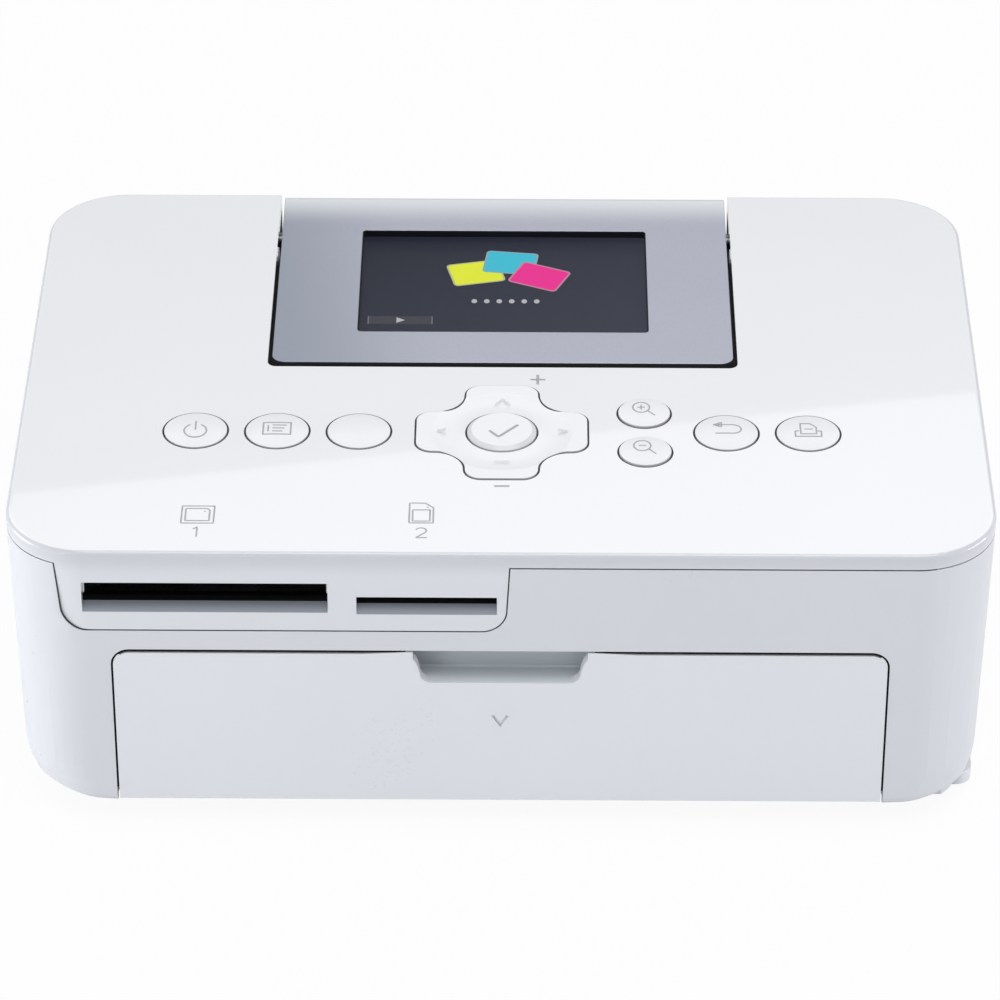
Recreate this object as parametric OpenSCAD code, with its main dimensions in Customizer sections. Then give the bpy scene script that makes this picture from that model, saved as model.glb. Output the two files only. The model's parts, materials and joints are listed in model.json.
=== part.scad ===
/* [Case] */
// Width of the case at the top
case_w = 178; // [170:1:190]
// Depth of the case at the top
case_d = 127; // [124:1:135]
// Height of the case over its feet
case_h = 60.5; // [60:0.5:64]
// Thickness of the case walls
wall = 2.2; // [1.8:0.1:2.6]
// Plan radius of the case corners
corner_r = 15; // [14:0.5:17]
// Lean of the side walls, as inset per height
draft = 0.028; // [0.02:0.002:0.036]
// Radius of the lid's upper edge
edge_r = 1; // [0.6:0.1:1.4]
// Height of the lid's rim
lid_h = 3; // [2.8:0.1:3.4]
// Thickness of the lid's plate
lid_t = 2.4; // [2.2:0.1:2.5]
// Dark seam between lid and housing
seam_gap = 0.25; // [0.2:0.05:0.4]
// Height of the housing's lower edge over the table
skirt_z = 5.5; // [5.2:0.1:6]
// Radius along the housing's lower edge
skirt_r = 2; // [1:0.1:2.1]
// Gap between a door and the wall round it
door_gap = 0.4; // [0.3:0.05:0.5]

/* [Paper door] */
// Wall left on each side of the paper door
door_side = 19.3; // [18.5:0.1:22]
// Drop from the case's top to the paper door's top edge
door_drop = 21.8; // [21.3:0.1:23]
// Height of the paper door's bottom edge
door_bottom = 6.4; // [6.2:0.1:6.8]
// Radius of the paper door's upper corners
door_r = 3; // [2:0.1:4]
// Thickness of a door's skin
door_t = 2.3; // [2:0.1:2.4]
// Width of the finger notch at its mouth
notch_w = 31.4; // [26:0.2:36]
// Width of the finger notch at its foot
notch_foot_w = 25.3; // [20:0.1:26]
// Depth of the finger notch
notch_h = 6.8; // [5:0.1:7.5]
// Radius of a door's hinge pin
pin_r = 1.2; // [1:0.05:1.3]
// Radial clearance of a running fit
fit = 0.05; // [0.03:0.01:0.08]
// Height of the paper door's hinge axis
door_axis_z = 8.8; // [8.6:0.1:9.2]

/* [Card slots] */
// Inset of the card apron from the case's left side
apron_inset = 9.6; // [8.5:0.1:10.5]
// Width of the card apron
apron_w = 81; // [80:0.1:82.4]
// Drop from the case's top to the apron's lower edge
apron_drop = 17; // [16.3:0.1:17.7]
// Radius of the apron's lower corners
apron_r = 4.2; // [2:0.1:5]
// Inset of the wide card slot from the apron's left end
wide_slot_inset = 4.7; // [4.2:0.1:5.2]
// Width of the wide card slot
wide_slot_w = 43.9; // [43.4:0.1:44.6]
// Drop to the lower edge of the wide card slot
wide_slot_drop = 13.1; // [12.9:0.1:13.3]
// Drop to the upper edge of the wide card slot
wide_slot_top_drop = 6.65; // [6.5:0.05:7]
// Wall between the two card slots
slot_between = 5.1; // [4.6:0.1:5.6]
// Width of the small card slot
small_slot_w = 25.1; // [24.6:0.1:25.6]
// Drop to the lower edge of the small card slot
small_slot_drop = 13.4; // [13.2:0.1:13.6]
// Drop to the upper edge of the small card slot
small_slot_top_drop = 9.55; // [9.3:0.05:9.7]
// Drop to where both sloping lips end
lip_drop = 10.8; // [10.6:0.1:11]

/* [Screen panel] */
// Width of the screen panel
screen_w = 86.7; // [80:0.1:88]
// Distance from the row of keys back to the panel's front edge
screen_lead = 23.7; // [23:0.1:25.5]
// Thickness of the whole screen panel
screen_t = 7; // [6.8:0.1:7.4]
// Wall of the panel's bezel
bezel_t = 1.3; // [1.1:0.1:1.5]
// Bezel left beside the window
window_side = 15.75; // [14.5:0.05:18]
// Bezel left before the window
window_before = 11.45; // [10.5:0.05:13]
// Bezel left behind the window
window_behind = 13.85; // [13.5:0.05:15]
// Gap beside the panel
screen_gap = 0.75; // [0.5:0.05:1]
// Radius of the screen's hinge pins
screen_pin_r = 1.5; // [1.3:0.1:1.7]
// Distance of the screen's hinge axis before the case's rear
screen_axis_inset = 7; // [6.5:0.1:7.5]
// Height of the screen's hinge axis below the lid's top
screen_axis_drop = 6.5; // [6.3:0.1:6.8]

/* [Keys] */
// Pitch of the keys
key_pitch = 15; // [14.8:0.1:15.4]
// Diameter of the round keys
key_d = 11.6; // [11:0.1:12]
// Diameter of the zoom keys
zoom_d = 9.6; // [9:0.1:10]
// Diameter of the middle key
ok_d = 12.8; // [12:0.1:13.2]
// Gap round each key
key_gap = 0.35; // [0.3:0.05:0.45]
// Height of the keys over the lid
key_rise = 0.7; // [0.5:0.1:0.9]
// Travel of the keys
key_travel = 0.4; // [0.3:0.05:0.4]
// Distance of the row of keys behind the case's front
key_inset = 40; // [39.5:0.1:40.5]
// Length of the four-way pad
pad_len = 31.4; // [30:0.1:32]
// Width of the pad's arms
pad_arm = 13.3; // [13.1:0.1:14]

/* [Print mechanism] */
// Room in the case on each side of the printing parts
print_side = 37; // [36:0.5:38]
// Place of the print line behind the centre
print_line = 18; // [17.5:0.1:18.5]
// Height of the platen roller's axis
platen_height = 17; // [16.8:0.1:17.2]
// Radius of the platen roller
platen_size = 5.5; // [5.3:0.1:5.6]
// Radius of the feed roller
feed_size = 4; // [3.8:0.1:4.2]
// Module of the gears
tooth_size = 0.5; // [0.48:0.01:0.5]
// Radius of the ribbon cassette's tubes
tube_size = 11; // [10.6:0.1:11.1]

/* [Hidden] */
$fn = 64;

// Heights that many pieces share
lid_low = case_h - lid_h;
lid_under = case_h - lid_t;
housing_top = lid_low - seam_gap;
corner_x = case_w / 2 - corner_r;
corner_y = case_d / 2 - corner_r;
// A small gap that keeps neighbours apart
slack = 0.3;
// Overlap that makes a cut run clear of a face
over = 1;
// Overlap that joins two forms of one solid, and the clearance of a snug fit
nip = 0.1;
// Clearance of a close fit
close = 0.2;

// Places that follow the case and its doors and slots
door_w = case_w - 2 * door_side;
door_top = case_h - door_drop;
apron_left = -case_w / 2 + apron_inset;
apron_right = apron_left + apron_w;
apron_bottom = case_h - apron_drop;
wide_slot_x = apron_left + wide_slot_inset;
wide_slot_z = case_h - wide_slot_drop;
wide_slot_top = case_h - wide_slot_top_drop;
small_slot_x = wide_slot_x + wide_slot_w + slot_between;
small_slot_z = case_h - small_slot_drop;
small_slot_top = case_h - small_slot_top_drop;
lip_top = case_h - lip_drop;
key_y = -case_d / 2 + key_inset;
screen_front = key_y + screen_lead;

// Case height and depth that the full mechanism needs, and its share in a smaller case
full_h = 60.5;
full_d = 127;
// Sizes of the full mechanism: spools, side plates, motor, pinch roller, head and rolls
spool_half = 17;
plate_ahead = 10.5;
plate_behind = 57;
plate_height = 47;
left_room = 8;
right_room = 12;
motor_size = 8.5;
pinch_size = 3;
pivot_behind = 53;
pivot_height = 39.5;
core_size = 4;
supply_roll_size = 9.2;
takeup_roll_size = 6.5;
head_size = 9;
mouth_size = 8;
mouth_line = 7;
snug = min(1, case_h / full_h, case_d / full_d);
print_w = case_w - 2 * print_side;
print_y = print_line * snug;
platen_z = platen_height * snug;
platen_r = platen_size * snug;
feed_r = feed_size * snug;
gear_module = tooth_size * snug;
tube_r = tube_size * snug;
paper_z = platen_z + platen_r;
spool_dy = spool_half * snug;
supply_y = print_y - spool_dy;
takeup_y = print_y + spool_dy;
// Side plates of the mechanism
plate_t = 1.5;
plate_front = -plate_ahead * snug;
plate_rear = plate_behind * snug;
plate_top = plate_height * snug;
plate_left = -print_w / 2 - left_room;
plate_right = print_w / 2 + right_room;

// Lean of the walls at a height, and the outer faces there
function lean(z) = draft * (case_h - z);
function front_at(z) = -case_d / 2 + lean(z);
function rear_at(z) = case_d / 2 - lean(z);
function side_at(z) = case_w / 2 - lean(z);

// ---- shared shapes ----

// What is cut from a square's corner to round it
module corner_cut(r) {
    difference() {
        square(2 * r);
        circle(r);
    }
}

// Rectangle from (x0, y0) to (x1, y1) with its lower and upper corners rounded
module round_rect(x0, y0, x1, y1, low_r, high_r) {
    difference() {
        translate([x0, y0]) square([x1 - x0, y1 - y0]);
        if (high_r > 0) {
            translate([x1 - high_r, y1 - high_r]) corner_cut(high_r);
            translate([x0 + high_r, y1 - high_r]) mirror([1, 0]) corner_cut(high_r);
        }
        if (low_r > 0) {
            translate([x1 - low_r, y0 + low_r]) mirror([0, 1]) corner_cut(low_r);
            translate([x0 + low_r, y0 + low_r]) rotate(180) corner_cut(low_r);
        }
    }
}

// Section of the leaning case wall, measured outward from a corner's centre
module wall_section(z0, z1, inset, top_r, foot_r) {
    low = corner_r - inset - lean(z0);
    high = corner_r - inset - lean(z1);
    difference() {
        polygon([[0, z0], [low, z0], [high, z1], [0, z1]]);
        if (top_r > 0) translate([high - top_r, z1 - top_r]) corner_cut(top_r);
        if (foot_r > 0) translate([low - foot_r, z0 + foot_r]) mirror([0, 1]) corner_cut(foot_r);
    }
}

// Solid of the case's outer form between two heights, moved inward by inset
module case_block(z0, z1, inset = 0, top_r = 0, foot_r = 0) {
    for (i = [0:3])
        translate([(i == 0 || i == 3) ? corner_x : -corner_x, (i < 2) ? corner_y : -corner_y, 0])
            rotate([0, 0, 90 * i]) rotate_extrude(angle = 90) wall_section(z0, z1, inset, top_r, foot_r);
    for (side = [0, 1]) {
        rotate([90, 0, 90]) linear_extrude(2 * corner_x, center = true)
            mirror([side, 0]) translate([corner_y, 0]) wall_section(z0, z1, inset, top_r, foot_r);
        rotate([90, 0, 0]) linear_extrude(2 * corner_y, center = true)
            mirror([side, 0]) translate([corner_x, 0]) wall_section(z0, z1, inset, top_r, foot_r);
    }
    translate([-corner_x, -corner_y, z0]) cube([2 * corner_x, 2 * corner_y, z1 - z0]);
}

// Rectangle round a middle point
module box_outline(x, y, w, h) {
    translate([x - w / 2, y - h / 2]) square([w, h]);
}

// Its children and their mirror images on the other side of the case
module both_sides() {
    children();
    mirror([1, 0, 0]) children();
}

// Box between two corners
module span(low, high) {
    translate(low) cube(high - low);
}

// Extrudes an X-Z outline along Y from y0 to y1
module along_y(y0, y1) {
    translate([0, y1, 0]) rotate([90, 0, 0]) linear_extrude(y1 - y0) children();
}

// Extrudes a plan outline from z0 up to z1
module along_z(z0, z1) {
    translate([0, 0, z0]) linear_extrude(z1 - z0) children();
}

// Extrudes a Y-Z outline along X from x0 to x1
module along_x(x0, x1) {
    translate([x0, 0, 0]) rotate([90, 0, 90]) linear_extrude(x1 - x0) children();
}

// Round bar along X, and along Y
module bar_x(x0, x1, y, z, r) {
    translate([x0, y, z]) rotate([0, 90, 0]) cylinder(x1 - x0, r = r);
}

module bar_y(y0, y1, x, z, r) {
    translate([x, y0, z]) rotate([-90, 0, 0]) cylinder(y1 - y0, r = r);
}

// Outline of the card apron seen from the front, grown by g
module apron_outline(g) {
    round_rect(apron_left - g, apron_bottom - g, apron_right + g, lid_low + over, apron_r + g, 0);
}

// Outline of the paper door seen from the front, grown by g, with its finger notch if asked
module door_outline(g, notch) {
    difference() {
        round_rect(-door_w / 2 - g, door_bottom - g, door_w / 2 + g, door_top + g, 0, door_r + g);
        if (notch) finger_notch();
    }
}

// Finger notch with rounded foot corners and rounded lips
module finger_notch() {
    lip_r = 1.6;
    foot = door_top - notch_h;
    polygon([[-notch_w / 2, door_top + over], [-notch_w / 2, door_top - lip_r],
        [-notch_foot_w / 2, foot + lip_r], [notch_foot_w / 2, foot + lip_r],
        [notch_w / 2, door_top - lip_r], [notch_w / 2, door_top + over]]);
    round_rect(-notch_foot_w / 2, foot, notch_foot_w / 2, foot + 2 * lip_r, lip_r, 0);
}

// ---- screen panel places ----
screen_axis_y = case_d / 2 - screen_axis_inset;
screen_axis_z = case_h - screen_axis_drop;
screen_low = case_h - screen_t;
panel_rear = rear_at(case_h) - slack;
window_w = screen_w - 2 * window_side;
window_d = panel_rear - screen_front - window_before - window_behind;
window_y = screen_front + window_before + window_d / 2;
well_x = screen_w / 2 + screen_gap + 0.5;
well_t = 1.5;
well_floor = screen_low - 0.6;
trough_r = 8.4;
pin_play = 0.02;
// Height at which the case's rear wall is open for the panel
rear_notch_z = case_h - 14.3;
knuckle_r = 3;
knuckle_x0 = screen_w / 2 - 8.35;
knuckle_x1 = screen_w / 2 - 1.35;

// Dark gap before the screen panel
panel_clear = 1.2;

// Opening for the screen panel, seen from above, as a block between two heights
module screen_opening(z0, z1) {
    half = screen_w / 2 + screen_gap;
    span([-half, screen_front - panel_clear, z0], [half, case_d, z1]);
}

// ---- keys ----
// Places of the keys: x, y and cap diameter
power_at = [-3.75 * key_pitch, key_y, key_d];
menu_at = [-2.75 * key_pitch, key_y, key_d];
edit_at = [-1.75 * key_pitch, key_y, key_d];
zoom_in_at = [1.75 * key_pitch, key_y + 6.5, zoom_d];
zoom_out_at = [1.75 * key_pitch, key_y - 6.5, zoom_d];
back_at = [2.75 * key_pitch, key_y, key_d];
print_at = [3.75 * key_pitch, key_y, key_d];
ok_at = [0, key_y, ok_d];
KEYS = [power_at, menu_at, edit_at, zoom_in_at, zoom_out_at, back_at, print_at];
// Flange under each cap, and the layers under the flanges
flange_t = 0.8;
flange_out = 1.2;
flange_top = lid_under - slack;
mat_sheet_t = 0.3;
mat_low = lid_under - 2.8;
board_t = 0.9;
dome_h = 0.6;
dome_r = 2.4;
pad_flange_t = 0.6;
pad_flange_top = lid_under - 0.65;
pad_arm_r = 3;
pad_inner_r = 5.8;
pad_domes_at = 11.8;

// Clover outline of the four-way pad, grown by g
module pad_outline(g) {
    a = pad_arm / 2 + g;
    b = pad_len / 2 + g;
    r = pad_inner_r - g;
    round_rect(-b, -a, b, a, pad_arm_r + g, pad_arm_r + g);
    round_rect(-a, -b, a, b, pad_arm_r + g, pad_arm_r + g);
    difference() {
        square(2 * (a + r), center = true);
        for (i = [0:3]) rotate(90 * i) translate([a + r, a + r]) circle(r);
        for (i = [0:3]) rotate(90 * i) translate([a + r, -a - r - over]) square([over, 2 * (a + r + over)]);
    }
}

// Cap of a round key: a low dome over a flange
module key(at) {
    r = at[2] / 2;
    dome = 60;
    top = case_h + key_rise;
    translate([at[0], at[1], 0]) {
        translate([0, 0, flange_top - flange_t]) cylinder(flange_t, r = r + flange_out);
        rotate_extrude() intersection() {
            translate([0, flange_top - flange_t]) square([r, top - flange_top + flange_t]);
            translate([0, top - dome]) circle(dome, $fn = 360);
        }
        translate([0, 0, flange_top - flange_t - close]) cylinder(1, r = 1.6);
    }
}

// ---- lid ----
lip_t = 1.2;
lip_h = 2;
lip_in = wall + 0.15;
boss_r = 3;
screw_hole_r = 1.1;
boss_x = case_w / 2 - 8.7;
BOSS_Y = [-case_d / 2 + 13.5, case_d / 2 - 10.9];

module card_slot(x, w, mouth, top) {
    deep = front_at(mouth) + wall + over;
    translate([x, 0, 0]) rotate([90, 0, 90]) linear_extrude(w)
        polygon([[-case_d, mouth], [front_at(mouth), mouth], [front_at(mouth) + wall, lip_top],
            [deep, lip_top], [deep, top], [-case_d, top]]);
}

module top_cover() {
    color("white") {
        difference() {
            union() {
                case_block(lid_low, case_h, top_r = edge_r);
                intersection() {
                    case_block(apron_bottom - over, lid_low + over);
                    along_y(-case_d, -corner_y) apron_outline(0);
                }
            }
            case_block(apron_bottom - 2 * over, lid_under, inset = wall);
            screen_opening(lid_low - over, case_h + over);
            for (k = KEYS) translate([k[0], k[1], lid_low]) cylinder(lid_h + over, r = k[2] / 2 + key_gap);
            translate([ok_at[0], ok_at[1], lid_low]) linear_extrude(lid_h + over) pad_outline(key_gap);
            card_slot(wide_slot_x, wide_slot_w, wide_slot_z, wide_slot_top);
            card_slot(small_slot_x, small_slot_w, small_slot_z, small_slot_top);
        }
        // lip that drops inside the housing
        difference() {
            case_block(lid_low - lip_h, lid_under + nip, inset = lip_in);
            case_block(lid_low - lip_h - over, lid_under + over, inset = lip_in + lip_t);
            span([-well_x - well_t - slack, screen_front - panel_clear, lid_low - lip_h - over],
                [well_x + well_t + slack, case_d, lid_under - 0.05]);
            screen_opening(lid_low, case_h + over);
            along_y(-case_d, -corner_y) apron_outline(door_gap);
        }
        lid_bosses();
    }
}

// Screw bosses that hang from the lid down to the base
module lid_bosses() {
    for (x = [-boss_x, boss_x], y = BOSS_Y)
        translate([x, y, 0]) difference() {
            translate([0, 0, base_rim_top]) cylinder(lid_under - base_rim_top + nip, r = boss_r);
            translate([0, 0, base_rim_top - over]) cylinder(12, r = screw_hole_r);
        }
}

// ---- housing ----
// Length of a door's hinge pin
pin_len = 2.4;
// Rear slot through which the sheet runs out and back while it prints
rear_slot_w = print_w + 4;
rear_slot_low = paper_z - 2.5;
rear_slot_top = paper_z + 3;
jack_x = case_w / 2 - 18;
jack_z = 13.8;
jack_hole_r = 3.6;
usb_x = -case_w / 2 + 18.5;
usb_z = 12.5;
usb_w = 8;
usb_h = 4.4;
host_y = -30;
host_z = 26;
host_w = 14.2;
host_h = 7.4;
vent_n = 6;
vent_pitch = 4;
vent_w = 2;
vent_y1 = corner_y - 2.5;
vent_y0 = vent_y1 - 24;
vent_z0 = 26;

// Ink door, in the right wall
ink_y0 = supply_y - tube_r - 2;
ink_y1 = takeup_y + tube_r + 1.2;
ink_low = 12;
ink_top = 47;
ink_jamb_w = 3;
ink_jamb_d = 4.4;
ink_axis_z = ink_low + 1.6;
ink_axis_x = side_at(ink_axis_z) - 1.6;
ink_foot_gap = 0.5;

// Outline of the ink door seen from the right, grown by g
module ink_outline(g) {
    foot = g > 0 ? g + ink_foot_gap : 0;
    round_rect(ink_y0 - g, ink_low - foot, ink_y1 + g, ink_top + g, 0, door_r + g);
}

module housing() {
    color("white") difference() {
        union() {
            difference() {
                case_block(skirt_z, housing_top, foot_r = skirt_r);
                case_block(skirt_z - over, housing_top + over, inset = wall);
            }
            door_jambs();
            ink_jambs();
        }
        for (s = [-1, 1]) bar_x(s * door_w / 2 - pin_len - 0.7, s * door_w / 2 + pin_len + 0.7,
            door_axis_y, door_axis_z, pin_r + fit);
        for (y = [ink_y0 - pin_len - 0.5, ink_y1 - 3])
            bar_y(y, y + pin_len + 3.5, ink_axis_x, ink_axis_z, pin_r + fit);
        along_y(-case_d, -corner_y) apron_outline(0.15);
        along_y(-case_d, -corner_y) door_outline(door_gap, false);
        span([-door_w / 2 - door_gap, -case_d, 0], [door_w / 2 + door_gap, -corner_y, door_bottom + over]);
        along_x(corner_x, case_w) ink_outline(door_gap);
        span([-screen_w / 2 - screen_gap, corner_y, rear_notch_z],
            [screen_w / 2 + screen_gap, case_d, case_h]);
        span([-rear_slot_w / 2, corner_y, rear_slot_low], [rear_slot_w / 2, case_d, rear_slot_top]);
        for (i = [0:vent_n - 1])
            translate([-case_w, vent_y0, vent_z0 + i * vent_pitch])
                cube([case_w - corner_x, vent_y1 - vent_y0, vent_w]);
        bar_y(corner_y, case_d, jack_x, jack_z, jack_hole_r);
        along_y(corner_y, case_d) box_outline(usb_x, usb_z, usb_w, usb_h);
        along_x(-case_w, -corner_x) box_outline(host_y, host_z, host_w, host_h);
    }
}

// ---- base ----
foot_h = 1.5;
base_t = 1.8;
base_floor = foot_h + base_t;
base_rim_top = 7.5;
base_rim_t = 1.4;
base_inset = wall + slack;
base_front = front_at(door_bottom) + 5.6;
foot_x = case_w / 2 - 19;
foot_y = case_d / 2 - 17;
foot_r = 6;
ledge_x = case_w / 2 - 1.5;
ledge_y0 = -case_d / 2 + 11.5;
ledge_y1 = case_d / 2 - 19.5;
ledge_z0 = 0.5;
ledge_z1 = 3.2;
ledge_in = side_at(foot_h) - base_inset - 6;
screw_seat = 4;
board_x = print_w / 2 + 4;
board_y0 = base_front + 2.4;
board_y1 = plate_front - 3.5;
board_z = 6.2;

module base_tray() {
    color("gainsboro") {
        difference() {
            union() {
                difference() {
                    intersection() {
                        case_block(foot_h, base_rim_top, inset = base_inset);
                        span([-case_w, base_front, 0], [case_w, case_d, case_h]);
                    }
                    intersection() {
                        case_block(base_floor, base_rim_top + over, inset = base_inset + base_rim_t);
                        span([-case_w, base_front + base_rim_t, 0], [case_w, case_d, case_h]);
                    }
                }
                for (x = [-boss_x, boss_x], y = BOSS_Y)
                    translate([x, y, foot_h]) cylinder(base_rim_top - foot_h - nip, r = boss_r);
                ledge();
            }
            for (x = [-boss_x, boss_x], y = BOSS_Y) translate([x, y, 0]) {
                cylinder(base_rim_top + over, r = 1.7);
                cylinder(screw_seat, r = 2.6);
            }
            // row of cooling slits under the main board
            for (i = [-4:4]) along_z(0, base_floor + over)
                translate([i * 9 - 1, board_y0 + 14]) square([2, board_y1 - board_y0 - 22]);
        }
        for (x = [-board_x + 4, board_x - 4], y = [board_y0 + 3, board_y1 - 3])
            translate([x, y, base_floor - nip]) cylinder(board_z - base_floor + nip, r = 2.2);
        port_posts();
    }
}

// Heel of the base that shows below the right wall
module ledge() {
    along_z(ledge_z0, ledge_z1)
        round_rect(ledge_in, ledge_y0, ledge_x, ledge_y1, 3, 3);
}

module rubber_feet() {
    color("dimgray") for (x = [-foot_x, foot_x], y = [-foot_y, foot_y])
        translate([x, y, 0]) cylinder(foot_h, r = foot_r);
}

module case_screws() {
    color("silver") for (x = [-boss_x, boss_x], y = BOSS_Y) translate([x, y, 0]) {
        difference() {
            translate([0, 0, screw_seat - 1.6]) cylinder(1.6, r = 2.3);
            translate([0, 0, screw_seat - 2]) cylinder(1.2, r = 1, $fn = 6);
        }
        translate([0, 0, screw_seat - nip]) cylinder(11, r = screw_hole_r - 0.03);
    }
}

// ---- paper door ----
door_mid = (door_top + door_bottom) / 2;
chevron_deep = 0.45;
door_axis_y = front_at(door_axis_z) + 1.9;
jamb_w = 4;
jamb_d = 5;

// Block behind the housing's wall that takes a door's pin
module door_jambs() {
    x0 = door_w / 2 + door_gap;
    both_sides() span([x0, front_at(door_bottom) + wall - close, door_bottom],
        [x0 + jamb_w, front_at(door_bottom) + jamb_d, door_axis_z + 3]);
}

module paper_door() {
    inner = front_at(door_bottom) + door_t;
    color("white") {
        difference() {
            intersection() {
                difference() {
                    case_block(door_bottom - over, door_top + over);
                    case_block(door_bottom - 2 * over, door_top + 2 * over, inset = door_t);
                }
                along_y(-case_d, -corner_y - over) door_outline(0, true);
            }
            // chevron pressed into the face
            along_y(-case_d, front_at(door_mid) + chevron_deep) for (s = [-1, 1])
                polygon([[0, door_mid - 0.65], [s * 1.6, door_mid + 1.85],
                    [s * 1.1, door_mid + 2.15], [0, door_mid + 0.35]]);
        }
        // stiffening ribs and the upper snap hooks on the back
        for (x = [-door_w / 2 + 12, -22, 22, door_w / 2 - 12])
            span([x - 0.6, inner - 0.8, door_bottom + 6.6], [x + 0.6, inner + 1.1, door_top - 9.7]);
        both_sides() {
            span([door_w / 2 - 12, inner - 1.2, door_top - 2.6],
                [door_w / 2 - 6, guide_y - slack, door_top - 1.2]);
            bar_x(door_w / 2 - 3, door_w / 2 + pin_len, door_axis_y, door_axis_z, pin_r);
        }
    }
}

// ---- ink door ----
module ink_jambs() {
    for (y = [ink_y0 - door_gap - ink_jamb_w, ink_y1 + door_gap])
        span([side_at(ink_low) - ink_jamb_d, y, ink_low],
            [side_at(ink_low) - wall + close, y + ink_jamb_w, ink_axis_z + 3]);
}

module ink_door() {
    inner = side_at(ink_low) - door_t;
    color("white") {
        difference() {
            intersection() {
                difference() {
                    case_block(ink_low - over, ink_top + over);
                    case_block(ink_low - 2 * over, ink_top + 2 * over, inset = door_t);
                }
                along_x(corner_x, case_w) ink_outline(0);
            }
            // finger dip along the door's upper edge
            translate([side_at(ink_top) + 3, (ink_y0 + ink_y1) / 2, ink_top]) rotate([90, 0, 0])
                cylinder(18, r = 4.4, center = true);
        }
        for (y = [ink_y0 + 10, ink_y1 - 10])
            span([inner - 1, y - 0.6, ink_low + 5], [inner + 0.8, y + 0.6, ink_top - 6]);
        for (y = [ink_y0 - pin_len, ink_y1 - 3])
            bar_y(y, y + pin_len + 3, ink_axis_x, ink_axis_z, pin_r);
    }
}

// ---- well under the screen panel ----
module well_section() {
    difference() {
        union() {
            translate([screen_front - 3, well_floor - well_t])
                square([screen_axis_y - screen_front - 4, well_t]);
            translate([screen_axis_y, screen_axis_z]) circle(trough_r + well_t);
        }
        translate([screen_axis_y, screen_axis_z]) circle(trough_r);
        translate([0, well_floor]) square([case_d, case_h]);
        translate([panel_rear - 2.6, 0]) square(case_d);
    }
}

module screen_well() {
    color("dimgray") {
        along_x(-well_x, well_x) well_section();
        both_sides() difference() {
            along_x(well_x, well_x + well_t) {
                translate([screen_front - 3, well_floor - well_t])
                    square([panel_rear - 2.6 - screen_front + 3, lid_under - nip - well_floor + well_t]);
                intersection() {
                    translate([screen_axis_y, screen_axis_z]) circle(trough_r + well_t);
                    square([panel_rear - 2.6, screen_axis_z]);
                }
            }
            bar_x(0, well_x + 2 * well_t, screen_axis_y, screen_axis_z, screen_pin_r + pin_play);
        }
        span([-well_x, screen_front - 3, well_floor - well_t],
            [well_x, screen_front - 1.6, lid_under - nip]);
    }
}

module screen_hinge_pins() {
    color("silver") both_sides()
        bar_x(knuckle_x0, well_x + well_t, screen_axis_y, screen_axis_z, screen_pin_r);
}

// ---- screen panel ----
panel_r = 1.2;
panel_rear_r = 2;
skirt_drop = 4;
window_z = case_h - bezel_t - nip;
window_t = 1.1;
window_lap = 1.2;
display_t = 3;
display_x = window_w / 2 + 3.4;
display_y = window_d / 2 + 3.15;
back_t = 1.2;
post_x = window_w / 2 - 0.6;
post_y = window_d / 2 - 2.85;

// Side view of the panel's shell, moved inward by t
module panel_section(t) {
    y0 = screen_front + t;
    y1 = panel_rear - t;
    z1 = case_h - t;
    r = panel_rear_r - t * 0.7;
    difference() {
        translate([y0, screen_low]) square([y1 - y0, z1 - screen_low]);
        translate([y1 - r, z1 - r]) corner_cut(r);
    }
    translate([screen_axis_y + knuckle_r + 1.6 + t, screen_axis_z - skirt_drop])
        square([y1 - screen_axis_y - knuckle_r - 1.6 - t, skirt_drop + 1]);
}

module screen_bezel() {
    color("silver") difference() {
        along_x(-screen_w / 2, screen_w / 2) panel_section(0);
        along_x(-screen_w / 2 + bezel_t, screen_w / 2 - bezel_t) {
            difference() {
                panel_section(bezel_t);
                translate([screen_axis_y + knuckle_r + 1.6, 0]) square([case_d, screen_axis_z + 1]);
            }
            translate([screen_front + bezel_t, screen_low - over])
                square([screen_axis_y + knuckle_r + 1.6 - screen_front - bezel_t, 2 * over]);
        }
        along_z(screen_low, case_h + over) round_rect(-window_w / 2, window_y - window_d / 2,
            window_w / 2, window_y + window_d / 2, 0.8, 0.8);
        bar_x(-screen_w, screen_w, screen_axis_y, screen_axis_z, screen_pin_r + fit);
        both_sides() along_z(screen_low - over, case_h + over)
            translate([screen_w / 2 - panel_r, screen_front + panel_r]) mirror([0, 1]) corner_cut(panel_r);
    }
}

module screen_window() {
    color([0.2, 0.25, 0.3, 0.6]) along_z(window_z - window_t, window_z)
        round_rect(-window_w / 2 - window_lap, window_y - window_d / 2 - window_lap,
            window_w / 2 + window_lap, window_y + window_d / 2 + window_lap, 1, 1);
}

module screen_display() {
    top = window_z - window_t - nip;
    color("black") difference() {
        span([-display_x, window_y - display_y, top - display_t], [display_x, window_y + display_y, top]);
        span([-window_w / 2 + 0.6, window_y - window_d / 2 + 0.65, top - 0.3],
            [window_w / 2 - 0.6, window_y + window_d / 2 - 0.65, top + over]);
    }
}

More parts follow.
